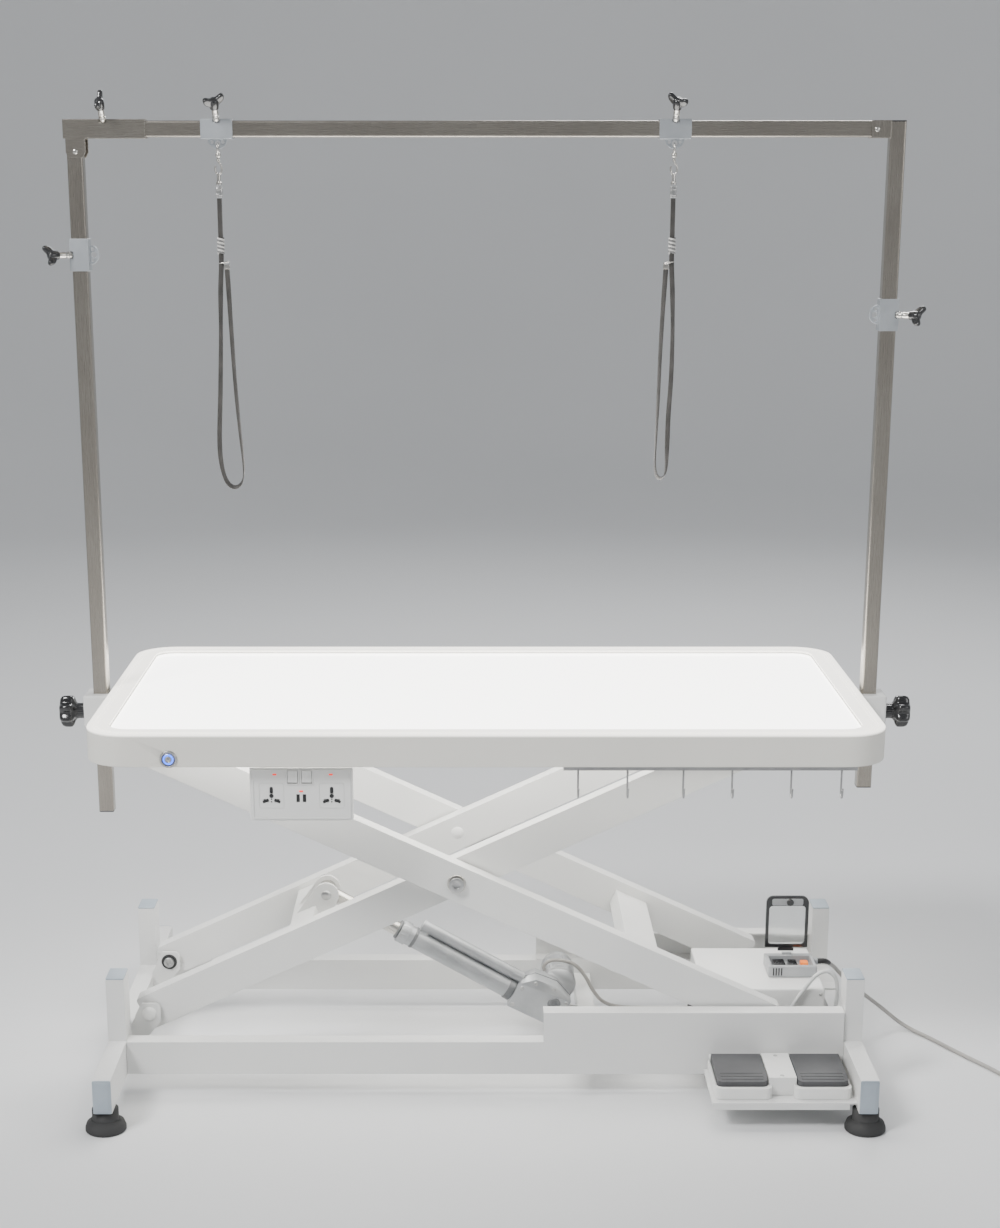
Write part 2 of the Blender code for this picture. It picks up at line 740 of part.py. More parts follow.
def actuator_rod():
    """The rod and its eye, which carries the pin between the lugs of the inner cross tube."""
    push = rod("actuator_rod", (0.188, 0, 0), (ACTUATOR_LENGTH - 0.008, 0, 0), ROD_RADIUS, 24)
    x = ACTUATOR_LENGTH
    join(push, rod("eye", (x, -0.0172, 0), (x, 0.0172, 0), 0.0150))
    join(push, rod("pin", (x, -0.0180, 0), (x, 0.0180, 0), 0.0065))
    place(push, ACTUATOR_PIVOT, math.pi + ACTUATOR_ANGLE)
    push.rotation_euler.x = math.pi
    finish(push, "nickel")


# Table ----------------------------------------------------------------------------------------------


def table_casing():
    """The moulded ring round the table top."""
    outer = rounded_rectangle(TABLE_HALF_LENGTH, TABLE_HALF_WIDTH, TABLE_CORNER, 8)
    half_x, half_y = TABLE_HALF_LENGTH - RIM_WIDTH, TABLE_HALF_WIDTH - RIM_WIDTH
    inner = rounded_rectangle(half_x, half_y, TABLE_CORNER - RIM_WIDTH, 6)
    casing = slab("table_casing", outer, CASING_BOTTOM, CASING_TOP)
    bevel = casing.modifiers.new("Soft edges", "BEVEL")
    bevel.width = 0.005
    bevel.segments = 3
    bevel.limit_method = "ANGLE"
    bevel.angle_limit = math.radians(60)
    recess = rounded_rectangle(half_x + 0.012, half_y + 0.012, 0.020, 4)
    cut(
        casing,
        slab("rim_opening", inner, CASING_BOTTOM - 0.01, CASING_TOP + 0.01),
        slab("under_recess", recess, CASING_BOTTOM - 0.01, PANEL_TOP - PANEL_THICKNESS - GAP),
    )
    cut(casing, rod("button_hole", (-0.490, -0.335, 0.612), (-0.490, -0.3120, 0.612), 0.0104, 24))
    finish(casing, "casing")


def light_panel():
    half_x = TABLE_HALF_LENGTH - RIM_WIDTH - GAP
    half_y = TABLE_HALF_WIDTH - RIM_WIDTH - GAP
    outline = rounded_rectangle(half_x, half_y, TABLE_CORNER - RIM_WIDTH - GAP, 6)
    finish(slab("light_panel", outline, PANEL_TOP - PANEL_THICKNESS, PANEL_TOP), "panel")


def table_subframe():
    """The steel frame under the panel: cross bars, roller tracks and the upper pivots' ears."""
    low, high = 0.6308, 0.6356
    frame = block("table_subframe", (-0.588, -0.1815, low), (0.588, -0.1385, high))
    join(frame, block("rear_bar", (-0.588, 0.1385, low), (0.588, 0.1815, high)))
    for x in (-0.568, -0.190, 0.190, 0.568):
        corner = (x - 0.020, -0.288, low + 0.0002)
        join(frame, block("cross_bar", corner, (x + 0.020, 0.288, high - 0.0002)))
    ear = arc((HIGH_PIVOT.x, HIGH_PIVOT.z), 0.023, 180, 360)
    ear += [(HIGH_PIVOT.x + 0.023, low + 0.001), (HIGH_PIVOT.x - 0.023, low + 0.001)]
    for side in (-1, 1):
        web = sorted((side * 0.1785, side * 0.1814))
        flange = sorted((side * 0.1480, side * 0.1800))
        join(
            frame,
            block("web", (0.090, web[0], 0.574), (0.586, web[1], low + 0.001)),
            block("low_flange", (0.090, flange[0], 0.574), (0.586, flange[1], 0.577)),
            block("high_flange", (0.090, flange[0], 0.623), (0.586, flange[1], 0.626)),
        )
        for inner, outer in ((0.1388, 0.1430), (0.1770, 0.1812)):
            faces = sorted((side * inner, side * outer))
            join(frame, plate("ear", ear, faces[0], faces[1]))
        start = (HIGH_PIVOT.x, side * 0.130, HIGH_PIVOT.z)
        end = (HIGH_PIVOT.x, side * 0.190, HIGH_PIVOT.z)
        cut(frame, rod("pin_hole", start, end, PIN_HOLE))
    finish(frame, "paint")


SOCKET_LOW = Vector((-0.368, -0.3045, 0.507))
SOCKET_HIGH = Vector((-0.207, -0.2965, 0.593))
SOCKET_CENTRES = (-0.3345, -0.2405)
ROCKER_CENTRES = (-0.3010, -0.2790)
USB_CENTRES = (-0.2930, -0.2830)
ROCKER_Z = 0.5790


def socket_plate():
    """The socket box that hangs under the front edge, open where plugs and switches go in."""
    box = block("socket_plate", SOCKET_LOW, SOCKET_HIGH)
    bevel = box.modifiers.new("Moulded edges", "BEVEL")
    bevel.width = 0.0015
    bevel.segments = 2
    join(box, block("back_box", (-0.358, -0.2970, 0.515), (-0.217, -0.2600, CASING_BOTTOM - GAP)))
    wells = []
    for x in ROCKER_CENTRES:
        wells.append(block("rocker_well", (x - 0.0082, -0.32, 0.5675), (x + 0.0082, -0.2915, 0.5905)))
    for x in SOCKET_CENTRES:
        wells.append(block("earth_slot", (x - 0.0026, -0.32, 0.5510), (x + 0.0026, -0.2850, 0.5590)))
        wells.append(block("left_slot", (x - 0.0125, -0.32, 0.5370), (x - 0.0045, -0.2850, 0.5422)))
        wells.append(block("right_slot", (x + 0.0045, -0.32, 0.5370), (x + 0.0125, -0.2850, 0.5422)))
    for x in USB_CENTRES:
        wells.append(block("usb_slot", (x - 0.0027, -0.32, 0.5370), (x + 0.0027, -0.2870, 0.5500)))
    cut(box, *wells)
    finish(box, "white_plastic")


def rocker(name, x):
    """A switch key that tips about a line across its middle."""
    side = [(-0.3070, ROCKER_Z + 0.0093), (-0.3056, ROCKER_Z), (-0.3070, ROCKER_Z - 0.0093)]
    side += [(-0.2985, ROCKER_Z - 0.0093), (-0.2960, ROCKER_Z), (-0.2985, ROCKER_Z + 0.0093)]
    key = plate(name, side, 0.0, 0.0152)
    key.matrix_basis = Matrix.Translation((x + 0.0076, 0, 0)) @ Matrix.Rotation(math.pi / 2, 4, "Z")
    set_pivot(key, (x, -0.3010, ROCKER_Z))
    finish(key, "white_plastic")


def power_button():
    profile = [(0.0, 0.0), (0.0085, 0.0), (0.0098, -0.0012), (0.0098, -0.0110), (0.0, -0.0110)]
    button = turned("power_button", (0, 0, 0), (0, -1, 0), profile, 24)
    place(button, (-0.490, -0.3270, 0.612))
    finish(button, "nickel")


HOOK_PLACES = (0.143, 0.220, 0.307, 0.383, 0.475, 0.553)


def hook_rail():
    """A flat rail under the front edge with six thin wire hooks."""
    rail = block("hook_rail", (0.120, -0.312, 0.5905), (0.576, -0.292, CASING_BOTTOM - GAP))
    for x in HOOK_PLACES:
        bend = [(x, y, z) for y, z in arc((-0.309, 0.553), 0.007, 0, -180, 6)]
        route = [(x, -0.302, 0.594), (x, -0.302, 0.574), *bend, (x, -0.316, 0.560)]
        join(rail, wire("hook", route, 0.0016))
    finish(rail, "white_plastic")


# Overhead frame -------------------------------------------------------------------------------------


def post_holder(name, side):
    """A block on the table's end that a post slides in and a star knob clamps."""
    xs = sorted((side * (TABLE_HALF_LENGTH + GAP), side * 0.672))
    holder = block(name, (xs[0], -0.029, 0.586), (xs[1], 0.029, 0.642))
    hole = TUBE_HALF + 0.0004
    x = side * POST_X
    ends = sorted((side * 0.655, side * 0.680))
    bevel = holder.modifiers.new("Cast edges", "BEVEL")
    bevel.width = 0.003
    bevel.segments = 2
    cut(
        holder,
        block("post_hole", (x - hole, -hole, 0.57), (x + hole, hole, 0.66)),
        rod("stud_hole", (ends[0], 0, 0.610), (ends[1], 0, 0.610), 0.0045, 16),
    )
    finish(holder, "white_plastic")


def star_knob(name, side):
    """A seven-lobed knob with the stud that presses on the post. It is built along +Z."""
    lobes = 7
    outline = []
    for step in range(lobes * 6):
        angle = 2 * math.pi * step / (lobes * 6)
        radius = 0.0240 + 0.0030 * math.cos(lobes * angle)
        outline.append((radius * math.cos(angle), radius * math.sin(angle)))
    knob = slab(name, outline, 0.0180, 0.0425)
    bevel = knob.modifiers.new("Lobe edges", "BEVEL")
    bevel.width = 0.004
    bevel.segments = 2
    bevel.limit_method = "ANGLE"
    bevel.angle_limit = math.radians(60)
    join(
        knob,
        rod("hub", (0, 0, GAP), (0, 0, 0.0200), 0.0125),
        rod("stud", (0, 0, -0.0140), (0, 0, 0.0020), 0.0040, 12),
    )
    place(knob, (side * 0.673, 0, 0.610), side * math.pi / 2)
    finish(knob, "black_plastic")


def square_tube(name, length, corner=0.003):
    """A square tube that stands on the origin, along +Z, with rounded corners and open ends."""
    outer = rounded_rectangle(TUBE_HALF, TUBE_HALF, corner, 3)
    inner_half = TUBE_HALF - TUBE_WALL
    inner = rounded_rectangle(inner_half, inner_half, corner - TUBE_WALL, 2)
    tube = slab(name, outer, 0.0, length)
    cut(tube, slab("tube_hollow", inner, -0.01, length + 0.01))
    return tube


def left_post():
    low, high = LEFT_POST_ENDS
    tube = square_tube("left_post", high - low)
    place(tube, (-POST_X, 0, low))
    finish(tube, "stainless")


def right_post():
    """The post that carries the bracket round the crossbar's right end."""
    low, high = RIGHT_POST_ENDS
    tube = square_tube("right_post", high - low)
    near, far = BRACKET_START - POST_X, -TUBE_HALF + 0.001
    bottom, top = CROSSBAR_Z - 0.0135 - low, CROSSBAR_Z + 0.0130 - low
    inner, outer = TUBE_HALF + GAP, 0.0148
    join(
        tube,
        block("bracket_web", (BRACKET_WEB - POST_X, -outer, bottom), (far, outer, top)),
        block("front_cheek", (near, -outer, bottom), (far, -inner, top)),
        block("rear_cheek", (near, inner, bottom), (far, outer, top)),
    )
    place(tube, (POST_X, 0, low))
    finish(tube, "stainless")


def crossbar():
    """The square top tube, from inside the corner sleeve to inside the right post's bracket."""
    start, end = -0.640, BRACKET_WEB - GAP
    tube = square_tube("crossbar", end - start)
    place(tube, (start, 0, CROSSBAR_Z), math.pi / 2)
    finish(tube, "stainless")


def corner_sleeve():
    """The sleeve that the crossbar slides in, with the two cheeks that hold the left post's top."""
    half = 0.0145
    low, high = CROSSBAR_Z - half, CROSSBAR_Z + half
    sleeve = block("corner_sleeve", (-0.661, -half, low), (-0.532, half, high))
    cheek = [(-0.6575, low + 0.001), (-0.6575, 1.5120), (-0.6540, 1.5035), (-0.6310, 1.5035)]
    cheek += [(-0.6265, 1.5120), (-0.6265, low + 0.001)]
    join(
        sleeve,
        plate("front_cheek", cheek, -half, -TUBE_HALF - GAP),
        plate("rear_cheek", cheek, TUBE_HALF + GAP, half),
    )
    bore = CLAMP_HOLE
    x = SLEEVE_SCREW_X
    cut(
        sleeve,
        block("sleeve_hole", (-0.6405, -bore, CROSSBAR_Z - bore), (-0.5, bore, CROSSBAR_Z + bore)),
        rod("screw_hole", (x, -0.012, CROSSBAR_Z + 0.012), (x, -0.020, CROSSBAR_Z + 0.020), 0.0060, 16),
    )
    finish(sleeve, "stainless")


def clamp(name, point, turn):
    """A block that slides on a square tube along X, with an eye below and a hole for its screw."""
    half, long = CLAMP_HALF, CLAMP_HALF_LENGTH
    body = block(name, (-long, -half, -half), (long, half, half))
    join(body, rod("eye", (0, -0.002, -half), (0, 0.002, -half), EYE_RADIUS, 32))
    bore = CLAMP_HOLE
    cut(
        body,
        block("tube_hole", (-0.05, -bore, -bore), (0.05, bore, bore)),
        rod("eye_hole", (0, -0.01, -EYE_DROP), (0, 0.01, -EYE_DROP), 0.0045, 16),
        rod("left_slot", (-0.0086, -0.01, -0.0196), (-0.0086, 0.01, -0.0196), 0.0026, 12),
        rod("right_slot", (0.0086, -0.01, -0.0196), (0.0086, 0.01, -0.0196), 0.0026, 12),
        rod("screw_hole", (0, -0.012, 0.012), (0, -0.020, 0.020), 0.0060, 16),
    )
    place(body, point, turn)
    finish(body, "aluminium")


def thumb_screw(name, point, turn, corner):
    """A wing screw through a tube's corner edge, half forwards: corner is the edge's distance."""
    start, knob = corner - 0.0022, corner + 0.022

    def along(distance):
        return Vector((0, -distance, distance)) * math.sqrt(0.5)

    screw = rod(name, along(start), along(knob + 0.002), 0.0050, 14)
    wing = [(0.0060, 0.0060), (0.0085, 0.0100), (0.0160, 0.0150), (0.0166, 0.0200)]
    wing += [(0.0130, 0.0230), (0.0080, 0.0205), (0.0040, 0.0190)]
    outline = [(x, z) for x, z in wing] + [(-x, z) for x, z in reversed(wing)]
    wings = plate("wings", outline, -0.0040, 0.0040)
    lean = Matrix.Translation(along(knob)) @ Matrix.Rotation(math.pi / 4, 4, "X")
    wings.data.transform(lean)
    join(screw, wings, rod("hub", along(knob), along(knob + 0.018), 0.0074, 14))
    place(screw, point, turn)
    finish(screw, "black_plastic")


def clamps_and_screws():
    for side, x in CROSSBAR_CLAMPS.items():
        clamp(f"crossbar_clamp_{side}", (x, 0, CROSSBAR_Z), 0.0)
        thumb_screw(f"crossbar_clamp_screw_{side}", (x, 0, CROSSBAR_Z), 0.0, CLAMP_CORNER)
    for side, z in POST_CLAMP_HEIGHTS.items():
        way = -1 if side == "left" else 1
        clamp(f"post_clamp_{side}", (way * POST_X, 0, z), way * math.pi / 2)
        thumb_screw(f"post_clamp_screw_{side}", (way * POST_X, 0, z), way * math.pi / 2, CLAMP_CORNER)
    thumb_screw("sleeve_screw", (SLEEVE_SCREW_X, 0, CROSSBAR_Z), 0.0, 0.0145 * math.sqrt(2))


# Each noose's route: how far it stands off to its open side, and its height.
LEFT_NOOSE = [
    (0.0, 1.4424),
    (0.0, 1.4000),
    (0.0, 1.3450),
    (-0.0026, 1.3010),
    (-0.0044, 1.2286),
    (-0.0079, 1.1416),
    (-0.0118, 1.0661),
    (-0.0105, 1.0280),
    (-0.0030, 0.9960),
    (0.0110, 0.9832),
    (0.0235, 0.9940),
    (0.0265, 1.0200),
    (0.0215, 1.0800),
    (0.0165, 1.1500),
    (0.0125, 1.2400),
    (0.0098, 1.3100),
    (0.0085, 1.3360),
]
RIGHT_NOOSE = [
    (0.0, 1.4424),
    (0.0, 1.4000),
    (0.0, 1.3450),
    (-0.0025, 1.3000),
    (-0.0045, 1.2350),
    (-0.0040, 1.1650),
    (-0.0010, 1.1000),
    (0.0010, 1.0400),
    (0.0030, 1.0100),
    (0.0090, 0.9960),
    (0.0155, 0.9985),
    (0.0185, 1.0200),
    (0.0180, 1.0700),
    (0.0160, 1.1300),
    (0.0145, 1.2000),
    (0.0120, 1.2700),
    (0.0092, 1.3250),
    (0.0087, 1.3360),
]


def leash(side, x, opens, noose):
    """A swivel snap in the clamp's eye, and the strap with its noose that hangs from it."""
    eye = CROSSBAR_Z - EYE_DROP
    ring_centre = eye - 0.0075
    ring = []
    for step in range(16):
        angle = 2 * math.pi * step / 16
        ring.append((x, 0.0075 * math.sin(angle), ring_centre + 0.0075 * math.cos(angle)))
    snap = wire(f"leash_snap_{side}", ring, 0.0015, cyclic=True)
    body = [
        (0.0, 1.5125),
        (0.0030, 1.5125),
        (0.0045, 1.5060),
        (0.0045, 1.4920),
        (0.0024, 1.4880),
        (0.0024, 1.4780),
        (0.0050, 1.4740),
        (0.0050, 1.4640),
        (0.0036, 1.4610),
        (0.0036, 1.4430),
        (0.0, 1.4430),
    ]
    join(snap, turned("snap_body", (x, 0, 0), (0, 0, 1), body, 14))
    set_pivot(snap, (x, 0, eye))
    finish(snap, "nickel")
    route = smooth_route([(x + opens * off, 0.0, z) for off, z in noose], 0.015)
    strap = wire(f"leash_strap_{side}", route, 0.0035)
    join(strap, rod("slider", (x, 0, 1.3580), (x, 0, 1.3815), 0.0056, 14))
    set_pivot(strap, (x, 0, eye))
    finish(strap, "webbing")


# Assembly -------------------------------------------------------------------------------------------


def build_base():
    left_end_frame()
    right_end_frame()
    long_beam("front_beam", -1)
    long_beam("rear_beam", 1)
    actuator_mount()
    for depth, y in (("front", -FOOT_Y), ("rear", FOOT_Y)):
        for side, x in (("left", -SIDE_BEAM_X), ("right", SIDE_BEAM_X)):
            levelling_foot(f"foot_{depth}_{side}", x, y)
    control_box()
    isolator_box()
    isolator_lid()
    pedal_housing()
    pedal("raise_pedal", 0.3742, 0.4558)
    pedal("lower_pedal", 0.5042, 0.5858)
    cables()


def build_scissor():
    inner_arms()
    inner_cross_tube()
    upper_roller_shaft()
    outer_arms()
    outer_cross_tube()
    lower_roller("front_lower_roller", -1)
    lower_roller("rear_lower_roller", 1)
    actuator_housing()
    actuator_rod()


def build_table():
    table_casing()
    light_panel()
    table_subframe()
    socket_plate()
    rocker("left_rocker", ROCKER_CENTRES[0])
    rocker("right_rocker", ROCKER_CENTRES[1])
    power_button()
    hook_rail()


def build_overhead_frame():
    for name, side in (("left", -1), ("right", 1)):
        post_holder(f"{name}_post_holder", side)
        star_knob(f"{name}_star_knob", side)
    left_post()
    right_post()
    crossbar()
    corner_sleeve()
    clamps_and_screws()
    leash("left", CROSSBAR_CLAMPS["left"], 1, LEFT_NOOSE)
    leash("right", CROSSBAR_CLAMPS["right"], -1, RIGHT_NOOSE)


clear_scene()
PARTS = new_collection("grooming_table")
CUTTERS = new_collection("cutters")
build_base()
build_scissor()
build_table()
build_overhead_frame()
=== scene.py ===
"""The looks of an electric grooming table: its finishes, leads, leashes and small hardware.

Everything is in metres, +Z up, X to the right and Y to the back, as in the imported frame.
"""

import logging
import math
from collections.abc import Sequence
from dataclasses import dataclass, field
from enum import Enum

import bmesh
import bpy
from mathutils import Matrix, Vector


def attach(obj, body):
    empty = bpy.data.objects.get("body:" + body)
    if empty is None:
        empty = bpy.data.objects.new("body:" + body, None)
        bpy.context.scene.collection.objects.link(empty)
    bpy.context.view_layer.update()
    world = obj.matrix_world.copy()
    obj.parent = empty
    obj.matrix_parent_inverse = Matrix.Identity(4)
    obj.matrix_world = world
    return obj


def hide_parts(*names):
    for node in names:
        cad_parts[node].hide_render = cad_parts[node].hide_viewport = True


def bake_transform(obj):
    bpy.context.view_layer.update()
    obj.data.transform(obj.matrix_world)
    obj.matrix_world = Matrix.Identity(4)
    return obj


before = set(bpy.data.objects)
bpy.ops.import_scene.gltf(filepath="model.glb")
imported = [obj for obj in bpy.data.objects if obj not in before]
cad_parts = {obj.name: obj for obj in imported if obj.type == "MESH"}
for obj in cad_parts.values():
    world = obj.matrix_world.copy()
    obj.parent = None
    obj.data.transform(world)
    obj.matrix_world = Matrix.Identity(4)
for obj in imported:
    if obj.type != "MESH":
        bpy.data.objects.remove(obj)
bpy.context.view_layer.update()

LOG = logging.getLogger("grooming_table")

Colour = tuple[float, float, float]
Place = Sequence[float]
Outline = list[tuple[float, float]]

AXIS_X = Vector((1, 0, 0))
AXIS_Y = Vector((0, 1, 0))
AXIS_Z = Vector((0, 0, 1))
FRONT = -AXIS_Y
MERGE = 0.00001


# Finishes -------------------------------------------------------------------------------------------


class Grain(Enum):
    """Which way a surface's fine marks run, as the stretch of its noise."""

    EVEN = (1.0, 1.0, 1.0)
    ALONG_X = (0.012, 1.0, 1.0)
    ALONG_Z = (1.0, 1.0, 0.012)


@dataclass(frozen=True)
class Finish:
    """A finish, made as shader nodes on the piece's own coordinates."""

    name: str
    colour: Colour
    tint: Colour
    roughness: float = 0.45
    metallic: float = 0.0
    grain: Grain = Grain.EVEN
    grains: float = 900.0
    relief: float = 0.00004
    spread: float = 0.08
    patches: float = 6.0
    edge: float = 0.0007
    # lighter colour of the edges: wear, and a painted highlight along every edge
    edge_wear_and_highlight: Colour | None = None
    coat: float = 0.0
    sheen: float = 0.0
    glow: float = 0.0
    clear: float = 0.0

    def build(self) -> bpy.types.Material:
        """Makes the finish's material once, and gives it again after that.

        Returns:
            The material.
        """
        found = bpy.data.materials.get(self.name)
        if found is not None:
            return found
        material = bpy.data.materials.new(self.name)
        material.use_nodes = True
        tree = material.node_tree
        shader = tree.nodes["Principled BSDF"]
        place = self.coordinates(tree)
        height = self.marks(tree, place)
        broad = self.noise(tree, place, self.patches, 3.0)
        colour = self.mixed(tree, self.ramp(tree, broad, 0.35, 0.65), self.colour, self.tint)
        rounded = tree.nodes.new("ShaderNodeBevel")
        rounded.samples = 4
        rounded.inputs["Radius"].default_value = self.edge
        # The lighter edge colour is wear, and also a painted highlight along every edge.
        if self.edge_wear_and_highlight is not None:
            mask = self.edge_wear_and_highlight_mask(tree, rounded, height)
            colour = self.mixed(tree, mask, colour, self.edge_wear_and_highlight)
        tree.links.new(colour, shader.inputs["Base Color"])
        rough = self.ramp(tree, height, 0.2, 0.8)
        rough.node.inputs["To Min"].default_value = max(0.02, self.roughness - self.spread)
        rough.node.inputs["To Max"].default_value = min(1.0, self.roughness + self.spread)
        tree.links.new(rough, shader.inputs["Roughness"])
        bump = tree.nodes.new("ShaderNodeBump")
        bump.inputs["Distance"].default_value = self.relief
        tree.links.new(height, bump.inputs["Height"])
        tree.links.new(rounded.outputs["Normal"], bump.inputs["Normal"])
        tree.links.new(bump.outputs["Normal"], shader.inputs["Normal"])
        shader.inputs["Metallic"].default_value = self.metallic
        shader.inputs["Coat Weight"].default_value = self.coat
        shader.inputs["Sheen Weight"].default_value = self.sheen
        shader.inputs["Transmission Weight"].default_value = self.clear
        if self.glow > 0.0:
            shader.inputs["Emission Color"].default_value = (*self.colour, 1.0)
            shader.inputs["Emission Strength"].default_value = self.glow
        return material

    def coordinates(self, tree: bpy.types.NodeTree) -> bpy.types.NodeSocket:
        """Gives the coordinates that the pattern lies on: the object's own.

        Args:
            tree: the material's nodes.

        Returns:
            The coordinates.
        """
        return tree.nodes.new("ShaderNodeTexCoord").outputs["Object"]

    def marks(self, tree: bpy.types.NodeTree, place: bpy.types.NodeSocket) -> bpy.types.NodeSocket:
        """Makes the fine relief of the surface.

        Args:
            tree: the material's nodes.
            place: the coordinates.

        Returns:
            The relief's height, from 0 to 1.
        """
        stretch = tree.nodes.new("ShaderNodeMapping")
        stretch.inputs["Scale"].default_value = self.grain.value
        tree.links.new(place, stretch.inputs["Vector"])
        return self.noise(tree, stretch.outputs["Vector"], self.grains, 4.0)

    @staticmethod
    def noise(
        tree: bpy.types.NodeTree, place: bpy.types.NodeSocket, scale: float, detail: float
    ) -> bpy.types.NodeSocket:
        """Adds a noise texture and gives its value.

        Args:
            tree: the material's nodes.
            place: the coordinates.
            scale: how fine the noise is.
            detail: how many finer layers it has.

        Returns:
            The noise, from 0 to 1.
        """
        made = tree.nodes.new("ShaderNodeTexNoise")
        made.inputs["Scale"].default_value = scale
        made.inputs["Detail"].default_value = detail
        tree.links.new(place, made.inputs["Vector"])
        return made.outputs["Fac"]

    @staticmethod
    def ramp(
        tree: bpy.types.NodeTree, value: bpy.types.NodeSocket, low: float, high: float
    ) -> bpy.types.NodeSocket:
        """Stretches the values between low and high to the whole range.

        Args:
            tree: the material's nodes.
            value: the values.
            low: what becomes 0.
            high: what becomes 1.

        Returns:
            The stretched values.
        """
        made = tree.nodes.new("ShaderNodeMapRange")
        made.inputs["From Min"].default_value = low
        made.inputs["From Max"].default_value = high
        tree.links.new(value, made.inputs["Value"])
        return made.outputs["Result"]

    @staticmethod
    def mixed(
        tree: bpy.types.NodeTree,
        share: bpy.types.NodeSocket,
        first: Colour | bpy.types.NodeSocket,
        second: Colour,
    ) -> bpy.types.NodeSocket:
        """Mixes two colours by a share.

        Args:
            tree: the material's nodes.
            share: how much of the second colour there is.
            first: a colour, or the socket that gives one.
            second: the other colour.

        Returns:
            The mixed colour.
        """
        made = tree.nodes.new("ShaderNodeMix")
        made.data_type = "RGBA"
        tree.links.new(share, made.inputs[0])
        if isinstance(first, bpy.types.NodeSocket):
            tree.links.new(first, made.inputs[6])
        else:
            made.inputs[6].default_value = (*first, 1.0)
        made.inputs[7].default_value = (*second, 1.0)
        return made.outputs[2]

    def edge_wear_and_highlight_mask(
        self, tree: bpy.types.NodeTree, rounded: bpy.types.Node, height: bpy.types.NodeSocket
    ) -> bpy.types.NodeSocket:
        """Finds the edges, broken up by the surface's own marks, for the lighter edge colour: wear, and a
        painted highlight.

        Args:
            tree: the material's nodes.
            rounded: the node that softens the edges.
            height: the surface's relief.

        Returns:
            How much each place takes the lighter edge colour of wear and painted highlight, from 0 to 1.
        """
        flat = tree.nodes.new("ShaderNodeNewGeometry")
        turned_by = tree.nodes.new("ShaderNodeVectorMath")
        turned_by.operation = "DOT_PRODUCT"
        tree.links.new(rounded.outputs["Normal"], turned_by.inputs[0])
        tree.links.new(flat.outputs["True Normal"], turned_by.inputs[1])
        near_edge = self.ramp(tree, turned_by.outputs["Value"], 1.0, 0.80)
        both = tree.nodes.new("ShaderNodeMath")
        both.operation = "MULTIPLY"
        tree.links.new(near_edge, both.inputs[0])
        tree.links.new(height, both.inputs[1])
        return both.outputs["Value"]


@dataclass(frozen=True)
class Webbing(Finish):
    """Woven webbing, whose threads follow the strap's own map: across it and along it."""

    threads: float = 500.0

    def coordinates(self, tree: bpy.types.NodeTree) -> bpy.types.NodeSocket:
        """Gives the strap's own map.

        Args:
            tree: the material's nodes.

        Returns:
            The coordinates.
        """
        return tree.nodes.new("ShaderNodeTexCoord").outputs["UV"]

    def marks(self, tree: bpy.types.NodeTree, place: bpy.types.NodeSocket) -> bpy.types.NodeSocket:
        """Crosses two sets of threads.

        Args:
            tree: the material's nodes.
            place: the strap's map.

        Returns:
            The weave's height, from 0 to 1.
        """
        sets = []
        for direction in ("X", "Y"):
            threads = tree.nodes.new("ShaderNodeTexWave")
            threads.bands_direction = direction
            threads.inputs["Scale"].default_value = self.threads / (2 * math.pi)
            threads.inputs["Distortion"].default_value = 0.4
            tree.links.new(place, threads.inputs["Vector"])
            sets.append(threads.outputs["Fac"])
        woven = tree.nodes.new("ShaderNodeMath")
        woven.operation = "MULTIPLY"
        tree.links.new(sets[0], woven.inputs[0])
        tree.links.new(sets[1], woven.inputs[1])
        return woven.outputs["Value"]


@dataclass(frozen=True)
class PaintedHighlightMoulding(Finish):
    """Moulding whose top face carries a painted highlight: emission over its top few millimetres."""

    lit_from: float = 0.6465
    lit_to: float = 0.6500
    lit: Colour = (1.0, 0.96, 0.88)
    strength: float = 2.2

    def build(self) -> bpy.types.Material:
        """Adds the painted highlight of the top face, as emission, to the plain finish.

        Returns:
            The material.
        """
        found = bpy.data.materials.get(self.name)
        if found is not None:
            return found
        material = super().build()
        tree = material.node_tree
        heights = tree.nodes.new("ShaderNodeSeparateXYZ")
        tree.links.new(self.coordinates(tree), heights.inputs["Vector"])
        # Painted highlight: the top face glows as emission.
        share = self.ramp(tree, heights.outputs["Z"], self.lit_from, self.lit_to)
        share.node.inputs["To Max"].default_value = self.strength
        shader = tree.nodes["Principled BSDF"]
        shader.inputs["Emission Color"].default_value = (*self.lit, 1.0)
        tree.links.new(share, shader.inputs["Emission Strength"])
        return material


# The lighter edge colours below are wear, and a painted highlight along every edge.
WHITE_PAINT = Finish(
    "white_powder_coat", (0.76, 0.76, 0.74), (0.70, 0.70, 0.69), 0.42, grains=1400, relief=0.00006,
    patches=3.0, edge=0.0012, edge_wear_and_highlight=(0.86, 0.86, 0.85), coat=0.10,
)
BOX_PAINT = Finish(
    "control_box_paint", (0.78, 0.78, 0.76), (0.73, 0.73, 0.72), 0.38, grains=1600, relief=0.00005,
    edge=0.0015, edge_wear_and_highlight=(0.88, 0.88, 0.87),
)
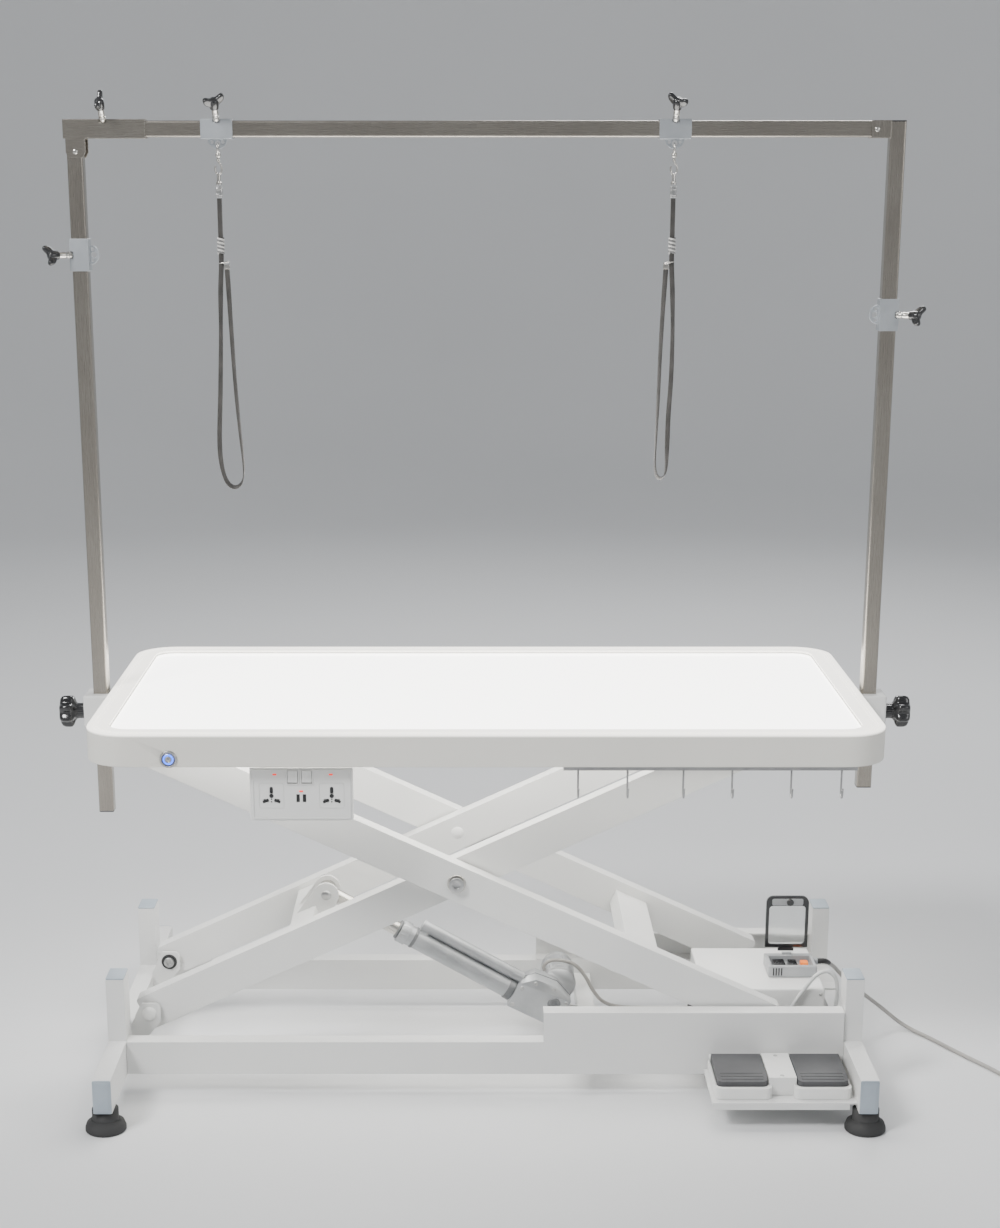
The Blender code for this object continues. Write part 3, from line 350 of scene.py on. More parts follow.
# The casing's top face carries a painted highlight, as emission.
CASING = PaintedHighlightMoulding(
    "casing_moulding", (0.80, 0.78, 0.72), (0.76, 0.74, 0.68), 0.50, grains=2200, relief=0.00003,
    patches=2.0, edge=0.0015,
)
PANEL = Finish(
    "lit_panel", (1.0, 0.985, 0.95), (0.97, 0.95, 0.90), 0.22, grains=120, relief=0.00001,
    patches=1.5, coat=0.5, glow=6.0,
)
STAINLESS_X = Finish(
    "brushed_tube_along_x", (0.40, 0.37, 0.325), (0.35, 0.32, 0.28), 0.27, 1.0, Grain.ALONG_X,
    grains=3400, relief=0.000003, spread=0.07, edge=0.0020, edge_wear_and_highlight=(0.62, 0.59, 0.54),
)
STAINLESS_Z = Finish(
    "brushed_tube_along_z", (0.40, 0.37, 0.325), (0.35, 0.32, 0.28), 0.27, 1.0, Grain.ALONG_Z,
    grains=3400, relief=0.000003, spread=0.07, edge=0.0020, edge_wear_and_highlight=(0.62, 0.59, 0.54),
)
ALUMINIUM = Finish(
    "blasted_aluminium", (0.56, 0.585, 0.61), (0.50, 0.525, 0.55), 0.46, 1.0, grains=3200,
    relief=0.00006, patches=40.0, edge=0.0010, edge_wear_and_highlight=(0.82, 0.84, 0.86),
)
NICKEL = Finish(
    "polished_nickel", (0.66, 0.64, 0.60), (0.58, 0.56, 0.52), 0.24, 1.0, grains=2400, relief=0.00001,
    patches=60.0, edge=0.0004,
)
ROLLER_STEEL = Finish(
    "zinc_plated_steel", (0.55, 0.55, 0.54), (0.45, 0.45, 0.45), 0.32, 1.0, grains=1800,
    patches=50.0, relief=0.00003,
)
CAST_GREY = Finish(
    "cast_housing", (0.46, 0.47, 0.48), (0.38, 0.39, 0.40), 0.48, 0.55, grains=2600, relief=0.00010,
    patches=25.0, edge=0.0010, edge_wear_and_highlight=(0.66, 0.67, 0.68),
)
DARK_CAST = Finish(
    "dark_gear_case", (0.20, 0.205, 0.21), (0.15, 0.155, 0.16), 0.45, 0.3, grains=2600,
    relief=0.00010, patches=25.0,
)
BLACK_GLOSS = Finish(
    "glossy_black_plastic", (0.012, 0.012, 0.013), (0.020, 0.020, 0.021), 0.20, grains=1500,
    relief=0.00002, patches=30.0, coat=0.5, edge=0.0008, edge_wear_and_highlight=(0.06, 0.06, 0.06),
)
BLACK_MATTE = Finish(
    "matte_black_plastic", (0.016, 0.016, 0.017), (0.026, 0.026, 0.027), 0.50, grains=2600,
    relief=0.00005, patches=30.0,
)
RUBBER = Finish(
    "foot_rubber", (0.018, 0.018, 0.018), (0.034, 0.033, 0.032), 0.62, grains=1400, relief=0.00010,
    patches=20.0, edge=0.0012,
)
PEDAL_DARK = Finish(
    "pedal_rubber", (0.085, 0.086, 0.090), (0.065, 0.066, 0.070), 0.58, grains=3000, relief=0.00012,
    patches=18.0, edge=0.0012, edge_wear_and_highlight=(0.16, 0.16, 0.165),
)
PEDAL_WHITE = Finish(
    "foot_switch_moulding", (0.82, 0.82, 0.80), (0.78, 0.78, 0.76), 0.34, grains=2400,
    relief=0.00002, coat=0.2, edge=0.0014,
)
TRIM_WHITE = Finish(
    "white_moulding", (0.83, 0.83, 0.81), (0.79, 0.79, 0.77), 0.34, grains=2400, relief=0.00002,
    coat=0.2, edge=0.0010,
)
END_CAP = Finish(
    "blue_grey_end_cap", (0.36, 0.41, 0.46), (0.31, 0.36, 0.41), 0.50, grains=2400, relief=0.00004,
    patches=20.0,
)
ISOLATOR_GREY = Finish(
    "isolator_moulding", (0.40, 0.41, 0.42), (0.35, 0.36, 0.37), 0.42, grains=2600, relief=0.00005,
    patches=20.0, edge=0.0012,
)
CLEAR_WINDOW = Finish(
    "clear_window", (0.92, 0.94, 0.94), (0.88, 0.90, 0.90), 0.10, grains=300, relief=0.00001,
    spread=0.04, clear=0.92,
)
LEAD_GREY = Finish(
    "grey_lead_jacket", (0.36, 0.345, 0.32), (0.31, 0.30, 0.28), 0.48, grains=1600, relief=0.00006,
    patches=14.0, edge=0.0003,
)
LEAD_LIGHT = Finish(
    "light_lead_jacket", (0.58, 0.585, 0.58), (0.52, 0.525, 0.52), 0.46, grains=1600,
    relief=0.00006, patches=20.0, edge=0.0003,
)
HOOK_WIRE = Finish(
    "plated_hook_wire", (0.40, 0.40, 0.40), (0.34, 0.34, 0.34), 0.30, 0.7, grains=2000,
    relief=0.00002, patches=60.0, edge=0.0002,
)
SLIDER_WHITE = Finish(
    "white_slider_cord", (0.66, 0.65, 0.62), (0.56, 0.55, 0.53), 0.60, grains=4000, relief=0.00010,
    patches=200.0, edge=0.0002, sheen=0.2,
)
SLIDER_GREY = Finish(
    "grey_slider_cord", (0.20, 0.20, 0.20), (0.14, 0.14, 0.14), 0.60, grains=4000, relief=0.00010,
    patches=200.0, edge=0.0002, sheen=0.2,
)
STRAP = Webbing(
    "black_webbing", (0.022, 0.020, 0.018), (0.050, 0.046, 0.042), 0.62, relief=0.00025,
    patches=30.0, edge=0.0003, sheen=0.35,
)
BLUE_LIGHT = Finish(
    "blue_ring_light", (0.02, 0.13, 1.0), (0.05, 0.22, 1.0), 0.30, grains=900, patches=90.0, glow=3.5,
)
RED_LIGHT = Finish(
    "red_indicator", (1.0, 0.015, 0.008), (1.0, 0.05, 0.02), 0.30, grains=900, patches=90.0, glow=1.1,
)
ORANGE_LIGHT = Finish(
    "orange_indicator", (1.0, 0.20, 0.02), (1.0, 0.28, 0.05), 0.30, grains=900, patches=90.0, glow=0.4,
)
FLOOR = Finish(
    "pale_studio_floor", (0.74, 0.745, 0.75), (0.72, 0.725, 0.73), 0.75, grains=60, relief=0.0001,
    patches=0.6, edge=0.0,
)


# Shapes ---------------------------------------------------------------------------------------------


def link(name: str, data: bpy.types.ID) -> bpy.types.Object:
    """Puts a mesh or a curve in the scene as one more object.

    Args:
        name: the object's name.
        data: the mesh or the curve.

    Returns:
        The object.
    """
    made = bpy.data.objects.new(name, data)
    bpy.context.scene.collection.objects.link(made)
    return made


def settle(source: bpy.types.Object, angle: float = 35.0, mend: bool = True) -> bpy.types.Object:
    """Applies an object's modifiers and its place, and shades it smooth up to an angle.

    Args:
        source: the object, which is removed.
        angle: the edges that stay sharp turn by more than this, in degrees.
        mend: whether doubles are merged and the normals made to face outwards.

    Returns:
        A mesh object of the same name at the scene's origin.
    """
    bpy.context.view_layer.update()
    graph = bpy.context.evaluated_depsgraph_get()
    mesh = bpy.data.meshes.new_from_object(source.evaluated_get(graph))
    mesh.transform(source.matrix_world)
    if mend:
        work = bmesh.new()
        work.from_mesh(mesh)
        bmesh.ops.remove_doubles(work, verts=work.verts, dist=MERGE)
        bmesh.ops.recalc_face_normals(work, faces=work.faces)
        work.to_mesh(mesh)
        work.free()
    name = source.name
    bpy.data.objects.remove(source, do_unlink=True)
    made = link(name, mesh)
    made.name = name
    mesh.materials.clear()
    mesh.shade_smooth()
    mesh.set_sharp_from_angle(angle=math.radians(angle))
    return made


def unite(name: str, parts: Sequence[bpy.types.Object]) -> bpy.types.Object:
    """Puts settled parts of one piece together in one mesh.

    Args:
        name: the piece's name.
        parts: the parts, which are removed.

    Returns:
        The piece.
    """
    work = bmesh.new()
    for part in parts:
        work.from_mesh(part.data)
    mesh = bpy.data.meshes.new(name)
    work.to_mesh(mesh)
    work.free()
    for part in parts:
        bpy.data.objects.remove(part, do_unlink=True)
    made = link(name, mesh)
    mesh.shade_smooth()
    mesh.set_sharp_from_angle(angle=math.radians(35))
    return made


def dress(
    piece: bpy.types.Object, finish: Finish, body: str, slot: str, *replaced: str
) -> bpy.types.Object:
    """Gives a new piece its finish and its body, and reports it.

    Args:
        piece: the piece.
        finish: what it looks like.
        body: the body that it moves with.
        slot: not used.
        replaced: the plain solids that it stands for.

    Returns:
        The piece.
    """
    piece.data.materials.clear()
    piece.data.materials.append(finish.build())
    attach(piece, body)
    if replaced:
        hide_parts(*replaced)
    LOG.info("%s: %s, on %s", piece.name, finish.name, body)
    return piece


def dress_nodes(finish: Finish, *names: str) -> None:
    """Gives the frame's own nodes their finish.

    Args:
        finish: what they look like.
        names: the nodes.
    """
    for name in names:
        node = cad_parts[name]
        if not node.material_slots:
            node.data.materials.append(None)
        for slot in node.material_slots:
            slot.material = finish.build()
        LOG.info("%s: %s", name, finish.name)


def refine(name: str, finish: Finish, body: str, slot: str, angle: float = 32.0) -> bpy.types.Object:
    """Replaces a round node by a merged copy of it whose curved faces are smooth.

    Args:
        name: the node.
        finish: what it looks like.
        body: the body that it moves with.
        slot: not used; it is passed on to dress, which ignores it.
        angle: the edges that stay sharp turn by more than this, in degrees.

    Returns:
        The piece.
    """
    piece = settle(link(f"{name}_skin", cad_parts[name].data.copy()), angle)
    even = piece.modifiers.new("Even shading", "WEIGHTED_NORMAL")
    even.keep_sharp = True
    return dress(piece, finish, body, slot, name)


def arc(centre: Place, radius: float, first: float, last: float, steps: int = 8) -> Outline:
    """Gives points along an arc, with angles in degrees.

    Args:
        centre: the arc's centre.
        radius: its radius.
        first: the angle that it starts at.
        last: the angle that it ends at.
        steps: how many straight runs stand for it.

    Returns:
        The points, both ends included.
    """
    found = []
    for step in range(steps + 1):
        angle = math.radians(first + (last - first) * step / steps)
        found.append((centre[0] + radius * math.cos(angle), centre[1] + radius * math.sin(angle)))
    return found


def rounded_rectangle(half_x: float, half_y: float, corner: float, steps: int = 6) -> Outline:
    """Gives a rectangle's outline with round corners, about the origin.

    Args:
        half_x: half its width.
        half_y: half its height.
        corner: the corners' radius.
        steps: the straight runs of a corner.

    Returns:
        The outline.
    """
    x, y = half_x - corner, half_y - corner
    outline = arc((x, y), corner, 0, 90, steps)
    outline += arc((-x, y), corner, 90, 180, steps)
    outline += arc((-x, -y), corner, 180, 270, steps)
    outline += arc((x, -y), corner, 270, 360, steps)
    return outline


def aim(centre: Place, axis: Vector) -> Matrix:
    """Gives the place that turns +Z to an axis, at a centre.

    Args:
        centre: the centre.
        axis: the axis.

    Returns:
        The place.
    """
    turn = AXIS_Z.rotation_difference(Vector(axis)).to_matrix().to_4x4()
    return Matrix.Translation(Vector(centre)) @ turn


def upright(centre: Place) -> Matrix:
    """Gives the place that stands a flat outline up, facing the front.

    Args:
        centre: where its origin goes.

    Returns:
        The place.
    """
    return Matrix.Translation(Vector(centre)) @ Matrix.Rotation(math.pi / 2, 4, "X")


def turned(
    name: str, profile: Outline, centre: Place, axis: Vector = AXIS_Z, steps: int = 32
) -> bpy.types.Object:
    """Makes a turned piece.

    Args:
        name: the piece's name.
        profile: (radius, height) from top to bottom.
        centre: where height 0 is.
        axis: the way that its height runs.
        steps: how many sides it has.

    Returns:
        The piece.
    """
    mesh = bpy.data.meshes.new(name)
    points = [(radius, 0.0, height) for radius, height in profile]
    mesh.from_pydata(points, [(i, i + 1) for i in range(len(points) - 1)], [])
    piece = link(name, mesh)
    screw = piece.modifiers.new("Screw", "SCREW")
    screw.steps = steps
    screw.render_steps = steps
    screw.use_merge_vertices = True
    screw.merge_threshold = MERGE
    piece.matrix_basis = aim(centre, axis)
    return settle(piece)


def curve(name: str, points: Sequence[Place], cyclic: bool, flat: bool) -> bpy.types.Object:
    """Makes a curve object through points.

    Args:
        name: the object's name.
        points: the points.
        cyclic: whether it closes.
        flat: whether it is an outline to fill, and not a path.

    Returns:
        The curve object.
    """
    data = bpy.data.curves.new(name, "CURVE")
    data.dimensions = "2D" if flat else "3D"
    spline = data.splines.new("POLY")
    spline.points.add(len(points) - 1)
    for point, place in zip(spline.points, points):
        point.co = (*place, 0.0)[:3] + (1.0,)
    spline.use_cyclic_u = cyclic
    return link(name, data)


def plate(
    name: str, outline: Outline, thickness: float, place: Matrix, edge: float = 0.0005
) -> bpy.types.Object:
    """Makes a flat piece with softened edges.

    Args:
        name: the piece's name.
        outline: its outline.
        thickness: how thick it is, along the place's own Z, to both sides.
        place: where it stands.
        edge: how round its edges are.

    Returns:
        The piece.
    """
    piece = curve(name, outline, True, True)
    piece.data.fill_mode = "BOTH"
    piece.data.extrude = thickness / 2 - edge
    piece.data.bevel_depth = edge
    piece.data.bevel_resolution = 2
    piece.data.offset = -edge
    piece.matrix_basis = place
    return settle(piece)


def tube(
    name: str,
    points: Sequence[Place],
    radius: float,
    cyclic: bool = False,
    radii: Sequence[float] | None = None,
) -> bpy.types.Object:
    """Makes a round wire or lead along points.

    Args:
        name: the piece's name.
        points: its centreline.
        radius: its radius.
        cyclic: whether it closes on itself.
        radii: the share of the radius at each point, where it changes.

    Returns:
        The piece, as a mesh.
    """
    piece = curve(name, [tuple(p) for p in points], cyclic, False)
    piece.data.bevel_depth = radius
    piece.data.bevel_resolution = 4
    piece.data.use_fill_caps = not cyclic
    if radii is not None:
        for point, share in zip(piece.data.splines[0].points, radii):
            point.radius = share
    return settle(piece, 50)


def brick(name: str, low: Place, high: Place, edge: float = 0.001) -> bpy.types.Object:
    """Makes a moulded block between two corners, with a live bevel on its edges.

    Args:
        name: the piece's name.
        low: the corner with the lowest coordinates.
        high: the corner with the highest ones.
        edge: how wide the bevel is.

    Returns:
        The piece.
    """
    low, high = Vector(low), Vector(high)
    work = bmesh.new()
    bmesh.ops.create_cube(work, size=1.0)
    bmesh.ops.scale(work, vec=high - low, verts=work.verts)
    bmesh.ops.translate(work, vec=(low + high) / 2, verts=work.verts)
    mesh = bpy.data.meshes.new(name)
    work.to_mesh(mesh)
    work.free()
    piece = link(name, mesh)
    soft = piece.modifiers.new("Soft edges", "BEVEL")
    soft.width = edge
    soft.segments = 3
    mesh.shade_smooth()
    mesh.set_sharp_from_angle(angle=math.radians(60))
    return piece


def frame_ring(
    name: str, outer: Outline, inner: Outline, thickness: float, place: Matrix
) -> bpy.types.Object:
    """Makes a flat frame: an outline with an opening in it.

    Args:
        name: the piece's name.
        outer: the outline.
        inner: the opening.
        thickness: how thick it is.
        place: where it goes.

    Returns:
        The piece.
    """
    piece = curve(name, outer, True, True)
    opening = piece.data.splines.new("POLY")
    opening.points.add(len(inner) - 1)
    for point, spot in zip(opening.points, inner):
        point.co = (*spot, 0.0, 1.0)
    opening.use_cyclic_u = True
    piece.data.fill_mode = "BOTH"
    piece.data.extrude = thickness / 2
    piece.matrix_basis = place
    return settle(piece)


def smooth_route(points: Sequence[Place], spacing: float) -> list[Vector]:
    """Gives evenly spaced points along a smooth curve through a route.

    Args:
        points: the route.
        spacing: how far apart the points are.

    Returns:
        The points, from the route's first to its last.
    """
    route = [Vector(p) for p in points]
    route = [2 * route[0] - route[1], *route, 2 * route[-1] - route[-2]]
    dense = []
    for before, start, end, after in zip(route, route[1:], route[2:], route[3:]):
        for step in range(16):
            t = step / 16
            bend = 2 * start + (end - before) * t
            bend += (2 * before - 5 * start + 4 * end - after) * t**2
            bend += (3 * start - before - 3 * end + after) * t**3
            dense.append(bend / 2)
    dense.append(route[-2])
    length = sum((b - a).length for a, b in zip(dense, dense[1:]))
    count = max(2, round(length / spacing))
    found, walked, index = [dense[0]], 0.0, 0
    for number in range(1, count):
        wanted = length * number / count
        while walked + (dense[index + 1] - dense[index]).length < wanted:
            walked += (dense[index + 1] - dense[index]).length
            index += 1
        span = dense[index + 1] - dense[index]
        found.append(dense[index] + span * ((wanted - walked) / span.length))
    return [*found, dense[-1]]


def eased(path: Sequence[Vector], passes: int) -> list[Vector]:
    """Eases the bends of a path, whose ends stay where they are.

    Args:
        path: the path.
        passes: how many times each point moves towards its neighbours.

    Returns:
        The eased path.
    """
    found = list(path)
    for _ in range(passes):
        inner = [(a + 2 * b + c) / 4 for a, b, c in zip(found, found[1:], found[2:])]
        found = [found[0], *inner, found[-1]]
    return found


def lofted(name: str, rings: Sequence[Sequence[Vector]]) -> bpy.types.Object:
    """Joins closed rings of as many points each into one skin, with both ends closed.

    Args:
        name: the piece's name.
        rings: the rings, in order.

    Returns:
        The piece.
    """
    work = bmesh.new()
    rows = [[work.verts.new(point) for point in ring] for ring in rings]
    count = len(rows[0])
    for row, following in zip(rows, rows[1:]):
        for side in range(count):
            after = (side + 1) % count
            work.faces.new((row[side], row[after], following[after], following[side]))
    work.faces.new(rows[0])
    work.faces.new(rows[-1])
    mesh = bpy.data.meshes.new(name)
    work.to_mesh(mesh)
    work.free()
    return settle(link(name, mesh), 42)


class Head(Enum):
    """The heads of bolts, rivets and screws, as (radius, height) shares from top to bottom."""

    DOMED = ((0.0, 1.0), (0.35, 0.94), (0.66, 0.74), (0.90, 0.38), (1.0, 0.10), (1.0, 0.0), (0.0, 0.0))
    SOCKET = (
        (0.0, 0.35), (0.46, 0.35), (0.50, 0.40), (0.50, 0.96), (0.56, 1.0), (0.90, 1.0), (1.0, 0.86),
        (1.0, 0.0), (0.0, 0.0),
    )
    PAN = (
        (0.0, 0.50), (0.24, 0.52), (0.26, 0.90), (0.60, 0.84), (0.92, 0.50), (1.0, 0.22), (1.0, 0.0),
        (0.0, 0.0),
    )


def fastener(
    name: str, head: Head, centre: Place, axis: Vector, radius: float, height: float
) -> bpy.types.Object:
    """Makes the head of a bolt, a rivet or a screw on a face.

    Args:
        name: the piece's name.
        head: the kind of head.
        centre: the middle of its foot, on the face.
        axis: the way that it stands out.
        radius: its radius.
        height: how far it stands out.

    Returns:
        The piece.
    """
    profile = [(share * radius, up * height) for share, up in head.value]
    return turned(name, profile, centre, axis, 24)


# The studio -----------------------------------------------------------------------------------------


@dataclass
class Studio:
    """The camera, the floor that runs up into a wall all round, and the soft lights."""

    eye: Place = (-0.0265, -3.50, 1.464)
    tilt: float = 74.0
    lens: float = 62.53
    shift: tuple[float, float] = (0.0252, 0.148)
    radius: float = 9.0
    wall: float = 7.0
    lamps: dict[str, tuple[Place, float, float]] = field(
        default_factory=lambda: {
            "key": ((-2.6, -2.8, 4.2), 1.6, 250.0),
            "fill": ((3.6, -2.6, 2.4), 2.4, 40.0),
            "back": ((0.9, 3.4, 3.8), 1.8, 120.0),
        }
    )

    def build(self) -> None:
        """Makes the camera, the floor, the lamps and the world."""
        camera = link("camera", bpy.data.cameras.new("camera"))
        camera.location = self.eye
        camera.rotation_euler = (math.radians(self.tilt), 0.0, 0.0)
        camera.data.sensor_width = 36.0
        camera.data.lens = self.lens
        camera.data.shift_x, camera.data.shift_y = self.shift
        bpy.context.scene.camera = camera
        rim = arc((self.radius - 3.0, 3.0), 3.0, 0, -90, 12)
        profile = [(self.radius, self.wall), *rim, (0.0, 0.0)]
        floor = turned("studio_floor", profile, (0.0, 0.0, 0.0), AXIS_Z, 96)
        floor.data.flip_normals()
        floor.data.materials.append(FLOOR.build())
        for name, (place, size, power) in self.lamps.items():
            lamp = link(f"{name}_lamp", bpy.data.lights.new(name, "AREA"))
            lamp.data.shape = "DISK"
            lamp.data.size = size
            lamp.data.energy = power
            lamp.location = place
            way = Vector((0.0, 0.0, 0.75)) - Vector(place)
            lamp.rotation_euler = way.to_track_quat("-Z", "Y").to_euler()
        world = bpy.data.worlds.new("studio_world")
        world.use_nodes = True
        sky = world.node_tree.nodes["Background"]
        sky.inputs["Color"].default_value = (0.93, 0.96, 1.0, 1.0)
        sky.inputs["Strength"].default_value = 0.42
        bpy.context.scene.world = world


# Leads and leashes ----------------------------------------------------------------------------------


@dataclass
class MainsLead:
    """The mains lead: from the isolator down to the floor, round a neat coil, to its plug."""

    length: float = 2.5
    diameter: float = 0.007
    coil_centre: Place = (0.950, -0.205, 0.0)
    coil_radius: float = 0.0385
    entry_angle: float = 168.0
    turns_per_layer: int = 3
    turns: float = 7.0333
    steps_per_turn: int = 24
    route: Sequence[Place] = (
        (0.5763, -0.030, 0.1715),
        (0.590, -0.030, 0.1715),
        (0.6018, -0.014, 0.1605),
        (0.6130, 0.004, 0.1478),
        (0.6289, 0.024, 0.1250),
        (0.6443, 0.038, 0.1070),
        (0.6597, 0.050, 0.0910),
        (0.6748, 0.062, 0.0769),
        (0.6942, 0.075, 0.0584),
        (0.7130, 0.084, 0.0420),
        (0.7329, 0.088, 0.0240),
        (0.7520, 0.082, 0.0095),
        (0.7690, 0.066, 0.0040),
        (0.7850, 0.042, 0.0037),
        (0.8020, 0.012, 0.0037),
        (0.833, -0.045, 0.0037),
        (0.876, -0.120, 0.0037),
        (0.892, -0.158, 0.0037),
        (0.8965, -0.194, 0.0037),
    )
    tail: Sequence[Place] = (
        (0.9132, -0.2148, 0.0176),
        (0.9182, -0.2234, 0.0178),
        (0.9258, -0.2299, 0.0180),
        (0.9365, -0.2335, 0.0182),
        (0.9471, -0.2371, 0.0184),
        (0.9548, -0.2436, 0.0184),
        (0.9598, -0.2522, 0.0176),
    )
    boot: Sequence[Place] = (
        (0.9598, -0.2522, 0.0176),
        (0.9608, -0.2572, 0.0156),
        (0.9613, -0.2620, 0.0120),
        (0.9615, -0.2665, 0.0100),
    )

    def coil(self) -> list[Vector]:
        """Winds the coil: each layer is a flat spiral of turns a diameter apart.

        Returns:
            The coil's centreline, from the outside of its lowest layer.
        """
        centre = Vector(self.coil_centre)
        pitch = self.diameter
        outer = self.coil_radius + pitch
        found = []
        for step in range(1, round(self.turns * self.steps_per_turn) + 1):
            turn = step / self.steps_per_turn
            layer = int(turn / self.turns_per_layer)
            inside = turn - layer * self.turns_per_layer
            sweep = min(inside, self.turns_per_layer - 1) * pitch
            radius = outer - sweep if layer % 2 == 0 else outer - 2 * pitch + sweep
            if layer == 2:
                radius = outer - min(1.0, inside * 2) * pitch
            radius += 0.009 * max(0.0, 1 - turn * 5)
            rise = max(0.0, inside - (self.turns_per_layer - 0.7)) / 0.7
            height = pitch * (layer + rise * rise * (3 - 2 * rise)) * 0.97 + pitch / 2 + 0.0002
            angle = math.radians(self.entry_angle) + 2 * math.pi * turn
            across = Vector((math.cos(angle), math.sin(angle), 0.0)) * radius
            found.append(centre + across + AXIS_Z * height)
        return found

    def build(self) -> None:
        """Makes the lead, its strain relief and its plug."""
        points = [*eased(smooth_route(self.route, 0.010), 3), *self.coil(), *self.tail]
        points = eased(smooth_route(points[::2] + [points[-1]], 0.008), 2)
        lead = curve("mains_lead", [tuple(p) for p in points], False, False)
        lead.data.bevel_depth = self.diameter / 2
        lead.data.bevel_resolution = 3
        lead.data.use_fill_caps = True
        walked = sum((b - a).length for a, b in zip(points, points[1:]))
        LOG.info("mains lead: %.3f m", walked)
        dress(lead, LEAD_GREY, "base", "cord_grey", "power_cord", "power_cord_coil")
        relief = self.strain_relief()
        plug = self.plug()

    def strain_relief(self) -> bpy.types.Object:
        """Makes the ribbed sleeve that tapers along the lead's first stretch.

        Returns:
            The piece.
        """
        path = smooth_route(self.route[:4], 0.0016)
        path = path[: round(0.030 / 0.0016)]
        shares = []
        for index in range(len(path)):
            along = index / (len(path) - 1)
            rib = 0.10 if index % 3 == 0 else 0.0
            shares.append(1.45 - 0.42 * along + rib)
        relief = tube("mains_strain_relief", path, self.diameter / 2, radii=shares)
        return dress(relief, BLACK_MATTE, "base", "plug_black")

    def plug(self) -> bpy.types.Object:
        """Makes the plug's grip with its two pins, and the short sleeve behind it.

        Returns:
            The grip.
        """
        middle = Vector((0.9615, -0.262, 0.0093))
        grip = [(0.0, 0.0402), (0.0105, 0.0402), (0.0126, 0.0385), (0.0128, 0.0290), (0.0112, 0.0210)]
        grip += [(0.0086, 0.0120), (0.0070, 0.0060), (0.0058, 0.0), (0.0, 0.0)]
        parts = [turned("grip", grip, (0, 0, 0), AXIS_Z, 32)]
        parts[0].data.transform(Matrix.Diagonal((1.08, 0.68, 1.0, 1.0)))
        parts[0].data.transform(aim(middle, FRONT))
        path = smooth_route(self.boot, 0.0012)
        shares = []
        for step in range(len(path)):
            rib = 0.12 if step % 3 == 0 else 0.0
            shares.append(1.25 + 0.5 * step / len(path) + rib)
        parts.append(tube("boot", path, self.diameter / 2, radii=shares))
        plug = dress(unite("mains_plug", parts), BLACK_MATTE, "base", "plug_black", "power_plug")
        pins = []
        for x in (0.9520, 0.9710):
            pin = [(0.0, 0.0590), (0.0016, 0.0590), (0.0022, 0.0582), (0.0022, 0.0395), (0.0, 0.0395)]
            pins.append(turned("pin", pin, (x, middle.y, middle.z), FRONT, 20))
        dress(unite("mains_plug_pins", pins), NICKEL, "base", "snap_nickel")
        return plug


